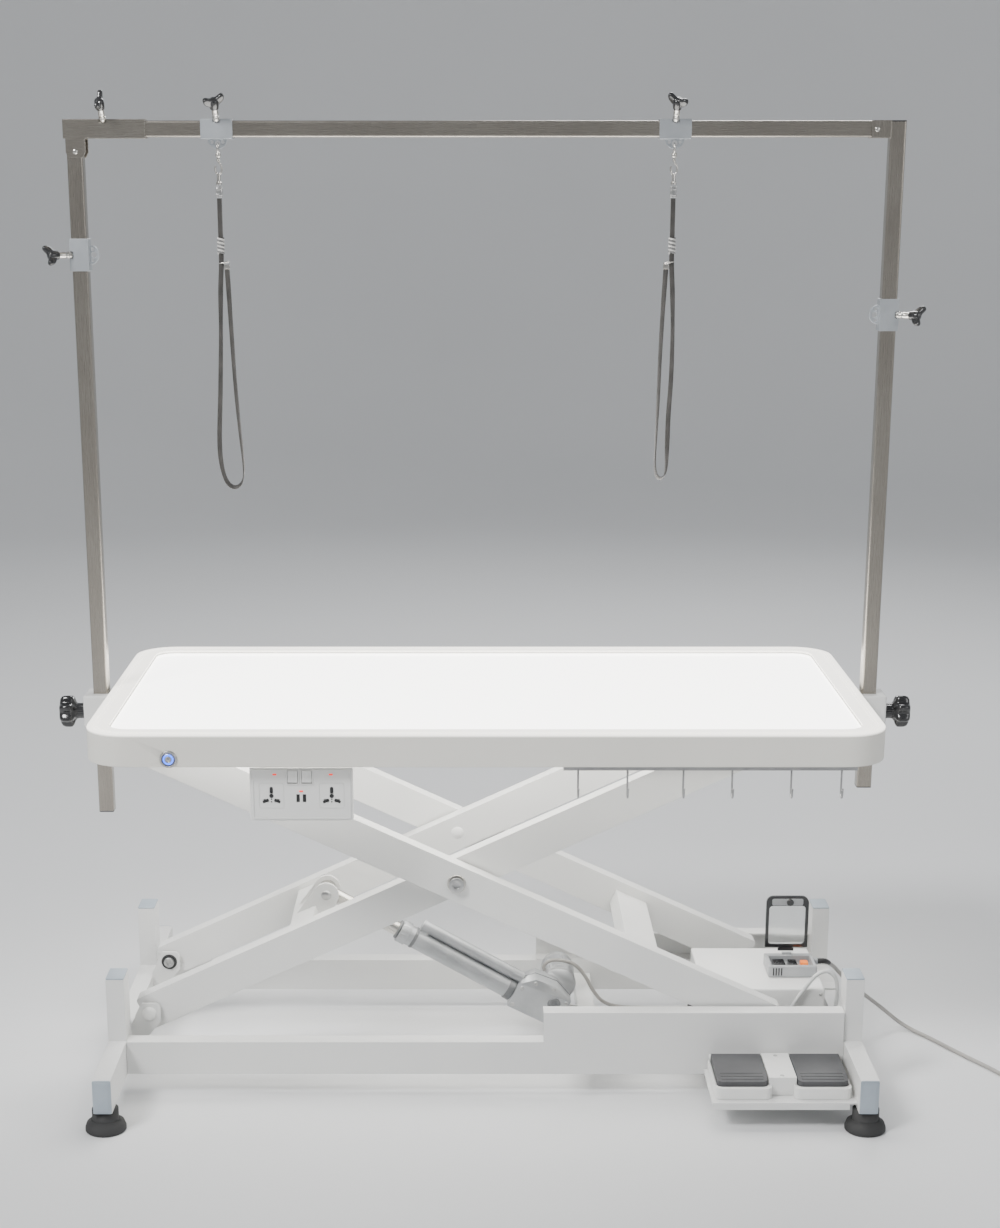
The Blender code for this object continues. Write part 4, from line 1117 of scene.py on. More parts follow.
@dataclass
class Leash:
    """A leash: a swivel hook in the clamp's eye, and a strap with its noose and slider."""

    side: str
    x: float
    opens: int
    noose: Sequence[tuple[float, float]]
    width: float = 0.008
    thickness: float = 0.0018
    doubled: float = 0.0036
    eye: float = 1.5255
    ferrule_top: float = 1.4610
    ferrule_bottom: float = 1.4430
    slider: tuple[float, float] = (1.3815, 1.3580)
    tip: float = 50.0

    @property
    def body(self) -> str:
        """The body that the leash swings with.

        Returns:
            Its name.
        """
        return f"leash_{self.side}"

    def build(self) -> None:
        """Makes the strap and everything on it."""
        hook = self.hook()
        ferrule = self.ferrule()
        strap, path = self.strap()
        slider = self.spiral()
        eyelet = self.eyelet()

    @staticmethod
    def length_of(path: Sequence[Vector]) -> float:
        """Gives the length of a path, rounded to a millimetre.

        Args:
            path: the path.

        Returns:
            The length.
        """
        return round(sum((b - a).length for a, b in zip(path, path[1:])), 3)

    def lean(self, share: float) -> float:
        """Gives how far the strap is turned about its length, in degrees, at a share of it.

        Args:
            share: the share of its length, from the ferrule.

        Returns:
            The turn.
        """
        turns = (
            (0.0, 0.0), (0.14, 6.0), (0.24, 58.0), (0.36, 40.0), (0.46, 22.0), (0.54, 70.0),
            (0.60, 84.0), (0.78, 62.0), (0.90, 50.0), (1.0, 20.0),
        )
        for (start, first), (end, last) in zip(turns, turns[1:]):
            if share <= end:
                part = (share - start) / (end - start)
                return first + (last - first) * part * part * (3 - 2 * part)
        return turns[-1][1]

    def strap(self) -> tuple[bpy.types.Object, list[Vector]]:
        """Sweeps the strap along its noose, with its own map.

        Returns:
            The strap and its centreline.
        """
        path = smooth_route([(self.x + self.opens * off, 0.0, z) for off, z in self.noose], 0.005)
        path = eased(path, 6)
        work = bmesh.new()
        maps = work.loops.layers.uv.new("UVMap")
        rings = []
        walked = 0.0
        heights = []
        for index, point in enumerate(path):
            before, after = path[max(0, index - 1)], path[min(len(path) - 1, index + 1)]
            along = (after - before).normalized()
            angle = math.radians(self.lean(index / (len(path) - 1))) * self.opens
            tip = math.radians(self.tip)
            turn = math.sin(angle)
            across = Vector((math.cos(angle), turn * math.cos(tip), abs(turn) * math.sin(tip)))
            across = (across - along * across.dot(along)).normalized()
            out = along.cross(across)
            thick = self.doubled if index < len(path) / 2 and point.z > self.slider[0] else self.thickness
            half, deep = self.width / 2, thick / 2
            section = [(half, deep * 0.35), (half * 0.86, deep), (0.0, deep), (-half * 0.86, deep)]
            section += [(-half, deep * 0.35)]
            section += [(-a, -b) for a, b in section]
            rings.append([work.verts.new(point + across * a + out * b) for a, b in section])
            walked += (point - before).length
            heights.append(walked)
        count = len(rings[0])
        for index, (ring, following) in enumerate(zip(rings, rings[1:])):
            for side in range(count):
                after = (side + 1) % count
                face = work.faces.new((ring[side], ring[after], following[after], following[side]))
                spots = (
                    (side, index), (side + 1, index), (side + 1, index + 1), (side, index + 1),
                )
                for corner, (around, along_index) in zip(face.loops, spots):
                    corner[maps].uv = (around * self.width * 0.24, heights[along_index])
        work.faces.new(list(reversed(rings[0])))
        work.faces.new(rings[-1])
        bmesh.ops.recalc_face_normals(work, faces=work.faces)
        mesh = bpy.data.meshes.new(f"leash_webbing_{self.side}")
        work.to_mesh(mesh)
        work.free()
        mesh.shade_smooth()
        mesh.set_sharp_from_angle(angle=math.radians(50))
        strap = link(f"leash_webbing_{self.side}", mesh)
        dress(strap, STRAP, self.body, "strap_webbing", f"leash_strap_{self.side}")
        return strap, path

    def hook(self) -> bpy.types.Object:
        """Makes the ring through the eye, the swivel ball and the open hook.

        Returns:
            The piece.
        """
        x = self.x
        ring = [(x, 0.0075 * math.sin(a), self.eye - 0.0075 + 0.0075 * math.cos(a)) for a in
                (2 * math.pi * step / 36 for step in range(36))]
        swivel = [(0.0, 1.5122), (0.0022, 1.5120), (0.0040, 1.5100), (0.0044, 1.5078), (0.0036, 1.5052)]
        swivel += [(0.0022, 1.5040), (0.0021, 1.5008), (0.0030, 1.4998), (0.0030, 1.4982), (0.0, 1.4975)]
        bend = [(x + 0.0002, 0.0, 1.4990), (x + 0.0010, 0.0, 1.4960)]
        bend += [(x + 0.0052 * math.sin(a), 0.0, 1.4870 + 0.0085 * math.cos(a)) for a in
                 (math.radians(20 + 20 * step) for step in range(15))]
        shank = [(0.0, 1.4800), (0.0026, 1.4796), (0.0030, 1.4770), (0.0030, 1.4680), (0.0046, 1.4662)]
        shank += [(0.0046, 1.4632), (0.0, 1.4630)]
        parts = [
            tube("ring", ring, 0.0015, cyclic=True),
            turned("swivel", swivel, (x, 0, 0)),
            tube("bend", smooth_route(bend, 0.0015), 0.0014),
            turned("shank", shank, (x, 0, 0)),
        ]
        return dress(
            unite(f"leash_hook_{self.side}", parts), NICKEL, self.body, "snap_nickel",
            f"leash_snap_{self.side}",
        )

    def ferrule(self) -> bpy.types.Object:
        """Makes the flat crimped ferrule that closes the doubled strap.

        Returns:
            The piece.
        """
        half = 0.0050
        outline = rounded_rectangle(half, 0.0036, 0.0016, 3)
        middle = (self.ferrule_top + self.ferrule_bottom) / 2
        height = self.ferrule_top - self.ferrule_bottom - 0.001
        place = Matrix.Translation((self.x, 0.0, middle))
        parts = [plate("sleeve", outline, height, place, 0.0006)]
        for z in (middle + 0.0045, middle - 0.0045):
            crimp = rounded_rectangle(half + 0.0004, 0.0040, 0.0016, 3)
            parts.append(plate("crimp", crimp, 0.0026, Matrix.Translation((self.x, 0.0, z)), 0.0004))
        return dress(unite(f"leash_ferrule_{self.side}", parts), ROLLER_STEEL, self.body, "snap_nickel")

    def spiral(self) -> list[bpy.types.Object]:
        """Winds the slider: two cords, a grey and a white one, round the strap.

        Returns:
            The two pieces.
        """
        top, bottom = self.slider
        made = []
        pitch, wire, turns = 0.0058, 0.00145, (top - bottom) / 0.0058
        for name, finish, start in (("grey", SLIDER_GREY, 0.0), ("white", SLIDER_WHITE, math.pi)):
            points = []
            for step in range(round(turns * 16) + 1):
                turn = step / 16
                angle = start + 2 * math.pi * turn
                points.append((
                    self.x + 0.0046 * math.cos(angle), 0.0036 * math.sin(angle), top - turn * pitch,
                ))
            cord = tube(f"leash_slider_{name}_{self.side}", points, wire)
            made.append(dress(cord, finish, self.body, "strap_webbing"))
        return made

    def eyelet(self) -> bpy.types.Object:
        """Makes the small eyelet that the strap's end is crimped to, round its standing part.

        Returns:
            The piece.
        """
        x = self.x + self.opens * 0.0045
        z = 1.3440
        loop = [(x + 0.0075 * math.cos(a), 0.0042 * math.sin(a), z + 0.0012 * math.cos(a)) for a in
                (2 * math.pi * step / 28 for step in range(28))]
        parts = [tube("loop", loop, 0.0011, cyclic=True)]
        outline = rounded_rectangle(0.0046, 0.0024, 0.0009, 3)
        place = Matrix.Translation((self.x + self.opens * 0.0087, 0.0, 1.3375))
        parts.append(plate("crimp", outline, 0.0075, place, 0.0004))
        return dress(unite(f"leash_eyelet_{self.side}", parts), NICKEL, self.body, "snap_nickel")


LEFT_NOOSE = (
    (0.0, 1.4424),
    (0.0, 1.4000),
    (0.0, 1.3450),
    (-0.0026, 1.3010),
    (-0.0044, 1.2286),
    (-0.0079, 1.1416),
    (-0.0118, 1.0661),
    (-0.0105, 1.0280),
    (-0.0030, 0.9960),
    (0.0110, 0.9832),
    (0.0235, 0.9940),
    (0.0265, 1.0200),
    (0.0215, 1.0800),
    (0.0165, 1.1500),
    (0.0125, 1.2400),
    (0.0098, 1.3100),
    (0.0085, 1.3360),
)
RIGHT_NOOSE = (
    (0.0, 1.4424),
    (0.0, 1.4000),
    (0.0, 1.3450),
    (-0.0025, 1.3000),
    (-0.0045, 1.2350),
    (-0.0040, 1.1650),
    (-0.0010, 1.1000),
    (-0.0002, 1.0400),
    (0.0002, 1.0150),
    (0.0030, 1.0020),
    (0.0095, 0.9962),
    (0.0160, 1.0020),
    (0.0188, 1.0150),
    (0.0190, 1.0350),
    (0.0180, 1.0700),
    (0.0160, 1.1300),
    (0.0145, 1.2000),
    (0.0120, 1.2700),
    (0.0092, 1.3250),
    (0.0087, 1.3360),
)


# The base -------------------------------------------------------------------------------------------


@dataclass
class Base:
    """The welded base: beams, uprights, caps, bolts and feet."""

    side_x: float = 0.611
    upright_y: float = 0.180
    upright_top: float = 0.203
    beam_end: float = 0.368
    cap: float = 0.0025
    pivot: Place = (-0.565, 0.0, 0.121)

    def build(self) -> None:
        """Dresses the beams and adds the caps, the bolts and the feet."""
        dress_nodes(WHITE_PAINT, "left_end_frame", "right_end_frame", "front_beam", "rear_beam")
        dress_nodes(WHITE_PAINT, "actuator_mount")
        for depth in ("front", "rear"):
            for side in ("left", "right"):
                self.caps(depth, side)
                name = f"foot_{depth}_{side}"
                refine(name, RUBBER, name, "foot_rubber")
                self.foot_collar(depth, side)
        self.pivot_heads()

    def caps(self, depth: str, side: str) -> None:
        """Closes an upright's top and a side beam's end with moulded caps.

        Args:
            depth: "front" or "rear".
            side: "left" or "right".
        """
        x = self.side_x * (-1 if side == "left" else 1)
        way = -1 if depth == "front" else 1
        outline = rounded_rectangle(0.0149, 0.0249, 0.002, 3)
        place = Matrix.Translation((x, way * self.upright_y, self.upright_top + self.cap / 2))
        parts = [plate("top", outline, self.cap, place, 0.0008)]
        plug = rounded_rectangle(0.0125, 0.0225, 0.001, 2)
        low = Matrix.Translation((x, way * self.upright_y, self.upright_top - 0.005))
        parts.append(plate("plug", plug, 0.0098, low, 0.0004))
        name = f"upright_cap_{depth}_{side}"
        dress(unite(name, parts), END_CAP, "base", "isolator_grey")
        outline = rounded_rectangle(0.0149, 0.0284, 0.003, 3)
        place = upright((x, way * (self.beam_end + self.cap / 2), 0.0665))
        parts = [plate("end", outline, self.cap, place, 0.0008)]
        inset = upright((x, way * (self.beam_end + self.cap), 0.0665))
        parts.append(plate("raised", rounded_rectangle(0.0115, 0.0250, 0.003, 3), 0.0012, inset, 0.0004))
        dress(unite(f"beam_cap_{depth}_{side}", parts), END_CAP, "base", "isolator_grey")

    def foot_collar(self, depth: str, side: str) -> None:
        """Adds the raised collar round the foot's neck.

        Args:
            depth: "front" or "rear".
            side: "left" or "right".
        """
        x = self.side_x * (-1 if side == "left" else 1)
        y = 0.345 * (-1 if depth == "front" else 1)
        name = f"foot_{depth}_{side}"
        ring = [(0.0, 0.0200), (0.0232, 0.0200), (0.0240, 0.0190), (0.0240, 0.0176), (0.0, 0.0170)]
        collar = turned(f"{name}_collar", ring, (x, y, 0.0), AXIS_Z, 36)
        dress(collar, RUBBER, name, "foot_rubber")

    def pivot_heads(self) -> None:
        """Adds the caps and bolts on the ears that hold the inner arms."""
        x, _, z = self.pivot
        cap = fastener("front_pivot_cap", Head.DOMED, (x, -0.1485, z), FRONT, 0.0125, 0.0065)
        dress(cap, TRIM_WHITE, "base", "white_steel")
        for name, y, axis in (("rear_pivot_bolt", 0.1015, FRONT), ("rear_pivot_end", 0.1485, AXIS_Y)):
            ring = [(0.0, 0.0012), (0.0135, 0.0012), (0.0140, 0.0008), (0.0140, 0.0), (0.0, 0.0)]
            washer = turned(f"{name}_washer", ring, (x, y, z), axis)
            dress(washer, BLACK_MATTE, "base", "plug_black")
            start = Vector((x, y, z)) + Vector(axis) * 0.0012
            bolt = fastener(name, Head.SOCKET, start, axis, 0.0090, 0.0055)
            dress(bolt, ROLLER_STEEL, "base", "roller_steel")
        inner = fastener("front_pivot_bolt", Head.SOCKET, (x, -0.1015, z), AXIS_Y, 0.0090, 0.0055)
        dress(inner, ROLLER_STEEL, "base", "roller_steel")


@dataclass
class FootSwitch:
    """The double foot switch on its tray."""

    pedals: dict[str, tuple[float, float]] = field(
        default_factory=lambda: {"raise_pedal": (0.3742, 0.4558), "lower_pedal": (0.5042, 0.5858)}
    )

    def build(self) -> None:
        """Dresses the housing and the pedals, and adds the ridges, the back strip and the screws."""
        dress_nodes(PEDAL_WHITE, "pedal_housing")
        dress_nodes(PEDAL_DARK, "raise_pedal", "lower_pedal")
        for name, (left, right) in self.pedals.items():
            ridges = []
            for step in range(3):
                y = -0.3160 + step * 0.0085
                z = 0.0752 + step * 0.0013
                middle = (left + right) / 2
                outline = rounded_rectangle((right - left) / 2 - 0.006, 0.0022, 0.0020, 4)
                place = Matrix.Translation((middle, y, z)) @ Matrix.Rotation(math.radians(9), 4, "X")
                ridges.append(plate("ridge", outline, 0.0026, place, 0.0009))
            dress(unite(f"{name}_ridges", ridges), PEDAL_DARK, name, "pedal_dark")
        strip = brick("pedal_back_strip", (0.372, -0.2172, 0.0660), (0.588, -0.2118, 0.0748), 0.0016)
        dress(strip, PEDAL_WHITE, "base", "pedal_white")
        screws = []
        for y in (-0.3085, -0.2260):
            screws.append(fastener("screw", Head.PAN, (0.480, y, 0.0780), AXIS_Z, 0.0034, 0.0014))
        dress(unite("pedal_block_screws", screws), ROLLER_STEEL, "base", "roller_steel")


@dataclass
class ControlBox:
    """The control box with the isolator on it, its switches and its hinged lid."""

    lid_low: Place = (0.4865, -0.0150, 0.1915)
    lid_high: Place = (0.5600, -0.0105, 0.2844)

    def build(self) -> None:
        """Dresses the boxes and adds the switches, the glands, the screws and the lid."""
        dress_nodes(BOX_PAINT, "control_box")
        dress_nodes(ISOLATOR_GREY, "isolator_box")
        switch_one = brick("isolator_switch_left", (0.496, -0.066, 0.1703), (0.516, -0.040, 0.1795), 0.0012)
        dress(switch_one, BLACK_GLOSS, "base", "plug_black")
        switch_two = brick("isolator_switch_right", (0.522, -0.066, 0.1703), (0.537, -0.040, 0.1788), 0.0012)
        dress(switch_two, BLACK_GLOSS, "base", "plug_black")
        lamp = brick("isolator_indicator", (0.543, -0.060, 0.1703), (0.556, -0.046, 0.1800), 0.0018)
        dress(lamp, ORANGE_LIGHT, "base", "button_steel")
        slots = []
        for step in range(4):
            x = 0.4925 + step * 0.0046
            slots.append(brick("slot", (x, -0.0816, 0.1640), (x + 0.0022, -0.0806, 0.1775), 0.0003))
        bars = unite("isolator_front_slots", [settle(slot) for slot in slots])
        dress(bars, BLACK_MATTE, "base", "plug_black")
        self.screws()
        self.glands()
        self.lid()

    def screws(self) -> None:
        """Adds the lid screws of the control box and of the isolator."""
        heads = []
        for x, z in ((0.374, 0.150), (0.567, 0.150), (0.374, 0.060), (0.567, 0.060)):
            heads.append(fastener("screw", Head.PAN, (x, -0.133, z), FRONT, 0.0030, 0.0016))
        for x, y in ((0.4885, -0.0775), (0.5645, -0.0775), (0.4885, -0.0225), (0.5645, -0.0225)):
            heads.append(fastener("screw", Head.PAN, (x, y, 0.1810), AXIS_Z, 0.0020, 0.0010))
        dress(unite("control_box_screws", heads), ROLLER_STEEL, "base", "roller_steel")

    def glands(self) -> None:
        """Adds the glands where the motor's and the foot switch's leads go in."""
        places = (
            ("motor_gland", (0.367, 0.0, 0.073), -AXIS_X),
            ("foot_switch_gland", (0.574, -0.118, 0.103), AXIS_X),
        )
        for name, centre, axis in places:
            profile = [(0.0036, 0.0100), (0.0052, 0.0100), (0.0062, 0.0085), (0.0062, 0.0030)]
            profile += [(0.0082, 0.0030), (0.0082, 0.0), (0.0036, 0.0)]
            dress(turned(name, profile, centre, axis, 12), BLACK_MATTE, "base", "plug_black")

    def lid(self) -> None:
        """Makes the lid: a black frame with a header band and a knob, and a clear window."""
        x_low, y_low, z_low = self.lid_low
        x_high, y_high, z_high = self.lid_high
        middle = ((x_low + x_high) / 2, (y_low + y_high) / 2, (z_low + z_high) / 2)
        half_x, half_z = (x_high - x_low) / 2, (z_high - z_low) / 2
        outer = arc((half_x - 0.012, half_z - 0.012), 0.012, 0, 90, 8)
        outer += arc((-half_x + 0.012, half_z - 0.012), 0.012, 90, 180, 8)
        outer += [(-half_x, -half_z), (half_x, -half_z)]
        wall = 0.0055
        inner = rounded_rectangle(half_x - wall, half_z - wall - 0.006, 0.006, 5)
        inner = [(x, z - 0.006) for x, z in inner]
        rim = frame_ring("lid_frame", outer, inner, y_high - y_low, upright(middle))
        dress(rim, BLACK_GLOSS, "isolator_lid", "lid_clear", "isolator_lid")
        window = plate(
            "lid_window", rounded_rectangle(half_x - wall + 0.001, half_z - wall - 0.005, 0.006, 5),
            0.0018, upright((middle[0], middle[1], middle[2] - 0.006)), 0.0003,
        )
        dress(window, CLEAR_WINDOW, "isolator_lid", "lid_clear")
        band = plate(
            "lid_header", rounded_rectangle(half_x - 0.010, 0.0060, 0.0030, 4), 0.0040,
            upright((middle[0], y_low + 0.0010, z_high - 0.0105)), 0.0008,
        )
        dress(band, ISOLATOR_GREY, "isolator_lid", "isolator_grey")
        knob = turned(
            "lid_knob", [(0.0, 0.0045), (0.0052, 0.0043), (0.0060, 0.0034), (0.0060, 0.0)],
            (middle[0] + 0.004, y_low - 0.0010, z_high - 0.0105), FRONT, 28,
        )
        dress(knob, BLACK_GLOSS, "isolator_lid", "knob_black")
        hinge = tube(
            "lid_hinge_barrel", [(0.5095, -0.012, 0.1870), (0.5365, -0.012, 0.1870)], 0.0030,
        )
        leaf = settle(brick("leaf", (0.5120, -0.0145, 0.1880), (0.5340, -0.0110, 0.1960), 0.0008))
        dress(unite("lid_hinge", [hinge, leaf]), BLACK_MATTE, "isolator_lid", "plug_black")


# The scissor and its actuator -----------------------------------------------------------------------


@dataclass
class Scissor:
    """The arms with their cross tubes, rollers and pivot heads."""

    low: Vector = field(default_factory=lambda: Vector((-0.565, 0.0, 0.121)))
    high: Vector = field(default_factory=lambda: Vector((-0.565, 0.0, 0.600)))
    centre: Vector = field(default_factory=lambda: Vector((-0.047, 0.0, 0.3605)))
    length: float = 1.1414
    rise: float = math.radians(24.81)

    def build(self) -> None:
        """Dresses the arms and adds their plugs and pivot heads."""
        dress_nodes(WHITE_PAINT, "front_inner_arm", "rear_inner_arm", "inner_cross_tube")
        dress_nodes(WHITE_PAINT, "front_outer_arm", "rear_outer_arm", "outer_cross_tube")
        refine("upper_roller_shaft", ROLLER_STEEL, "upper_rollers", "roller_steel")
        refine("front_lower_roller", ROLLER_STEEL, "front_lower_roller", "roller_steel")
        refine("rear_lower_roller", ROLLER_STEEL, "rear_lower_roller", "roller_steel")
        self.end_plugs()
        self.centre_heads()
        self.clevis()

    def end_plugs(self) -> None:
        """Closes the arms' open ends with black plugs set a little inside."""
        for kind, sign, start in (("inner", 1, self.low), ("outer", -1, self.high)):
            along = Vector((math.cos(self.rise), 0.0, sign * math.sin(self.rise)))
            up = Vector((-along.z, 0.0, along.x))
            for side, y in (("front", -1), ("rear", 1)):
                middle_y = y * (0.125 if kind == "inner" else 0.160)
                parts = []
                for distance in (-0.0085, self.length + 0.0085):
                    spot = start + along * distance + AXIS_Y * middle_y
                    place = Matrix.Translation(spot) @ Matrix((
                        (0, up.x, along.x, 0), (1, 0, 0, 0), (0, up.z, along.z, 0), (0, 0, 0, 1),
                    ))
                    outline = rounded_rectangle(0.0127, 0.0277, 0.002, 2)
                    parts.append(plate("plug", outline, 0.004, place, 0.0004))
                dress(
                    unite(f"{side}_{kind}_arm_plugs", parts), BLACK_MATTE, f"{kind}_frame",
                    "plug_black",
                )

    def centre_heads(self) -> None:
        """Adds the bolts at the middle pivots and the caps at the inner and upper ones."""
        x, _, z = self.centre
        for side, y, axis in (("front", -0.1800, FRONT), ("rear", 0.1800, AXIS_Y)):
            bolt = fastener(f"{side}_centre_bolt", Head.SOCKET, (x, y, z), axis, 0.0125, 0.0060)
            dress(bolt, ROLLER_STEEL, "inner_frame", "roller_steel")
            ring = [(0.0088, 0.0024), (0.0150, 0.0024), (0.0155, 0.0018), (0.0155, 0.0), (0.0088, 0.0)]
            washer = turned(f"{side}_centre_washer", ring, (x, 0.1752 * (y / 0.18), z), axis)
            dress(washer, NICKEL, "outer_frame", "roller_steel")
            inward = (x, 0.1120 * (y / 0.18), z)
            cap = fastener(f"{side}_centre_cap", Head.DOMED, inward, -Vector(axis), 0.0125, 0.0050)
            dress(cap, TRIM_WHITE, "inner_frame", "white_steel")
            spot = (self.high.x, 0.1825 * (y / 0.18), self.high.z)
            head = fastener(f"{side}_upper_pivot_bolt", Head.SOCKET, spot, axis, 0.0100, 0.0050)
            dress(head, ROLLER_STEEL, "outer_frame", "roller_steel")

    def clevis(self) -> None:
        """Adds the pin's head and the spring clip at the actuator's upper end."""
        x, z = -0.2720, 0.2890
        head = fastener("clevis_pin_head", Head.DOMED, (x, -0.0240, z), FRONT, 0.0085, 0.0035)
        shank = tube("shank", [(x, 0.0242, z), (x, 0.0330, z)], 0.0060)
        dress(unite("clevis_pin", [head, shank]), ROLLER_STEEL, "inner_frame", "roller_steel")
        clip = [(x - 0.004, 0.0295, z - 0.014), (x - 0.004, 0.0295, z + 0.010)]
        clip += [(x + 0.001, 0.0295, z + 0.017)]
        clip += [(x + 0.007, 0.0295, z + 0.013), (x + 0.006, 0.0295, z + 0.006), (x + 0.0075, 0.0295, z)]
        clip += [(x + 0.005, 0.0295, z - 0.008), (x + 0.008, 0.0295, z - 0.013)]
        spring = tube("clevis_clip", smooth_route(clip, 0.002), 0.0009)
        dress(spring, NICKEL, "inner_frame", "roller_steel")


@dataclass
class Actuator:
    """The linear actuator, its motor and the leads of the base."""

    pivot: Vector = field(default_factory=lambda: Vector((0.140, 0.0, 0.055)))
    tilt: float = math.radians(29.6)

    def spot(self, along: float, y: float, up: float) -> Vector:
        """Gives the world's point for a place along the actuator, across it and above its axis.

        Args:
            along: how far it is from the lower pivot, along the axis.
            y: how far it is across the axis.
            up: how far it is above the axis.

        Returns:
            The point.
        """
        way = Vector((-math.cos(self.tilt), 0.0, math.sin(self.tilt)))
        rise = Vector((math.sin(self.tilt), 0.0, math.cos(self.tilt)))
        return self.pivot + way * along + AXIS_Y * y + rise * up

    def build(self) -> None:
        """Dresses the housing and the rod, and adds screws, collars and leads."""
        refine("actuator_housing", CAST_GREY, "actuator_housing", "actuator_cast")
        refine("actuator_rod", NICKEL, "actuator_rod", "rod_steel")
        along = self.spot(1, 0, 0) - self.pivot
        screws = []
        for distance, up in ((0.030, -0.010), (0.097, -0.014), (0.097, 0.020), (0.080, 0.039),
                             (0.047, 0.045), (0.016, 0.033)):
            place = self.spot(distance, -0.028, up)
            screws.append(fastener("screw", Head.PAN, place, FRONT, 0.0038, 0.0022))
        dress(unite("gear_case_screws", screws), ROLLER_STEEL, "actuator_housing", "roller_steel")
        hub = [(0.0, 0.0010), (0.0050, 0.0010), (0.0058, 0.0030), (0.0105, 0.0030), (0.0115, 0.0018)]
        hub += [(0.0115, 0.0), (0.0, 0.0)]
        boss = turned("gear_case_boss", hub, self.spot(0.034, -0.028, 0.022), FRONT, 36)
        dress(boss, DARK_CAST, "actuator_housing", "actuator_cast")
        seam = []
        outline = [(0.024, -0.017), (0.103, -0.021), (0.103, 0.026), (0.084, 0.046), (0.044, 0.052)]
        outline += [(0.010, 0.040), (0.010, 0.024), (0.024, 0.018)]
        for x, z in outline:
            seam.append(self.spot(x, 0.004, z))
        line = tube("gear_case_seam", seam, 0.0009, cyclic=True)
        dress(line, DARK_CAST, "actuator_housing", "actuator_cast")
        collars = []
        for start, radius, tall in ((0.104, 0.0200, 0.012), (0.2985, 0.0192, 0.006), (0.3305, 0.0170, 0.004)):
            ring = [(radius - 0.004, tall), (radius - 0.001, tall), (radius, tall - 0.001)]
            ring += [(radius, 0.001), (radius - 0.001, 0.0), (radius - 0.004, 0.0)]
            collars.append(turned("collar", ring, self.spot(start, 0, 0), along, 40))
        dress(unite("actuator_collars", collars), DARK_CAST, "actuator_housing", "actuator_cast")
        self.motor()
        self.leads()

    def motor(self) -> None:
        """Adds the motor can's seams and its end cap."""
        can = []
        for y, radius in ((0.024, 0.0300), (0.040, 0.0296), (0.096, 0.0296)):
            ring = [(radius - 0.002, 0.003), (radius - 0.0004, 0.003), (radius, 0.0026)]
            ring += [(radius, 0.0004), (radius - 0.0004, 0.0), (radius - 0.002, 0.0)]
            can.append(turned("ring", ring, self.spot(0.034, y, 0.043), AXIS_Y, 48))
        dome = [(0.0, 0.0060), (0.0080, 0.0060), (0.0100, 0.0048), (0.0200, 0.0042), (0.0270, 0.0016)]
        dome += [(0.0275, 0.0), (0.0, 0.0)]
        can.append(turned("dome", dome, self.spot(0.034, 0.108, 0.043), AXIS_Y, 48))
        dress(unite("motor_can_trim", can), ROLLER_STEEL, "actuator_housing", "roller_steel")

    def leads(self) -> None:
        """Makes the motor's lead and the foot switch's lead."""
        motor_route = [
            (0.105, -0.006, 0.1450),
            (0.104, -0.006, 0.1540),
            (0.113, -0.004, 0.1615),
            (0.132, -0.002, 0.1625),
            (0.157, 0.0, 0.1540),
            (0.176, 0.0, 0.133),
            (0.190, 0.0, 0.107),
            (0.207, 0.0, 0.086),
            (0.235, 0.0, 0.0755),
            (0.290, 0.0, 0.073),
            (0.3667, 0.0, 0.073),
        ]
        motor = tube("motor_lead", smooth_route(motor_route, 0.006), 0.0032)
        motor.data.materials.append(LEAD_GREY.build())
        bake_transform(motor)
        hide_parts("motor_cable")
        pedal_route = [
            (0.500, -0.2147, 0.0655),
            (0.500, -0.195, 0.0655),
            (0.500, -0.172, 0.0660),
            (0.500, -0.155, 0.0700),
            (0.501, -0.1420, 0.0810),
            (0.505, -0.1378, 0.0980),
            (0.516, -0.1378, 0.1250),
            (0.536, -0.1378, 0.1580),
            (0.557, -0.1378, 0.1860),
            (0.575, -0.1378, 0.1930),
            (0.589, -0.1378, 0.1820),
            (0.5935, -0.1370, 0.1600),
            (0.5935, -0.1340, 0.1350),
            (0.5900, -0.1270, 0.1150),
            (0.5830, -0.1190, 0.1040),
            (0.5749, -0.1180, 0.1030),
        ]
        pedal = tube("foot_switch_lead", smooth_route(pedal_route, 0.005), 0.0033)
        dress(pedal, LEAD_LIGHT, "base", "cord_grey", "pedal_cable")


# The table ------------------------------------------------------------------------------------------


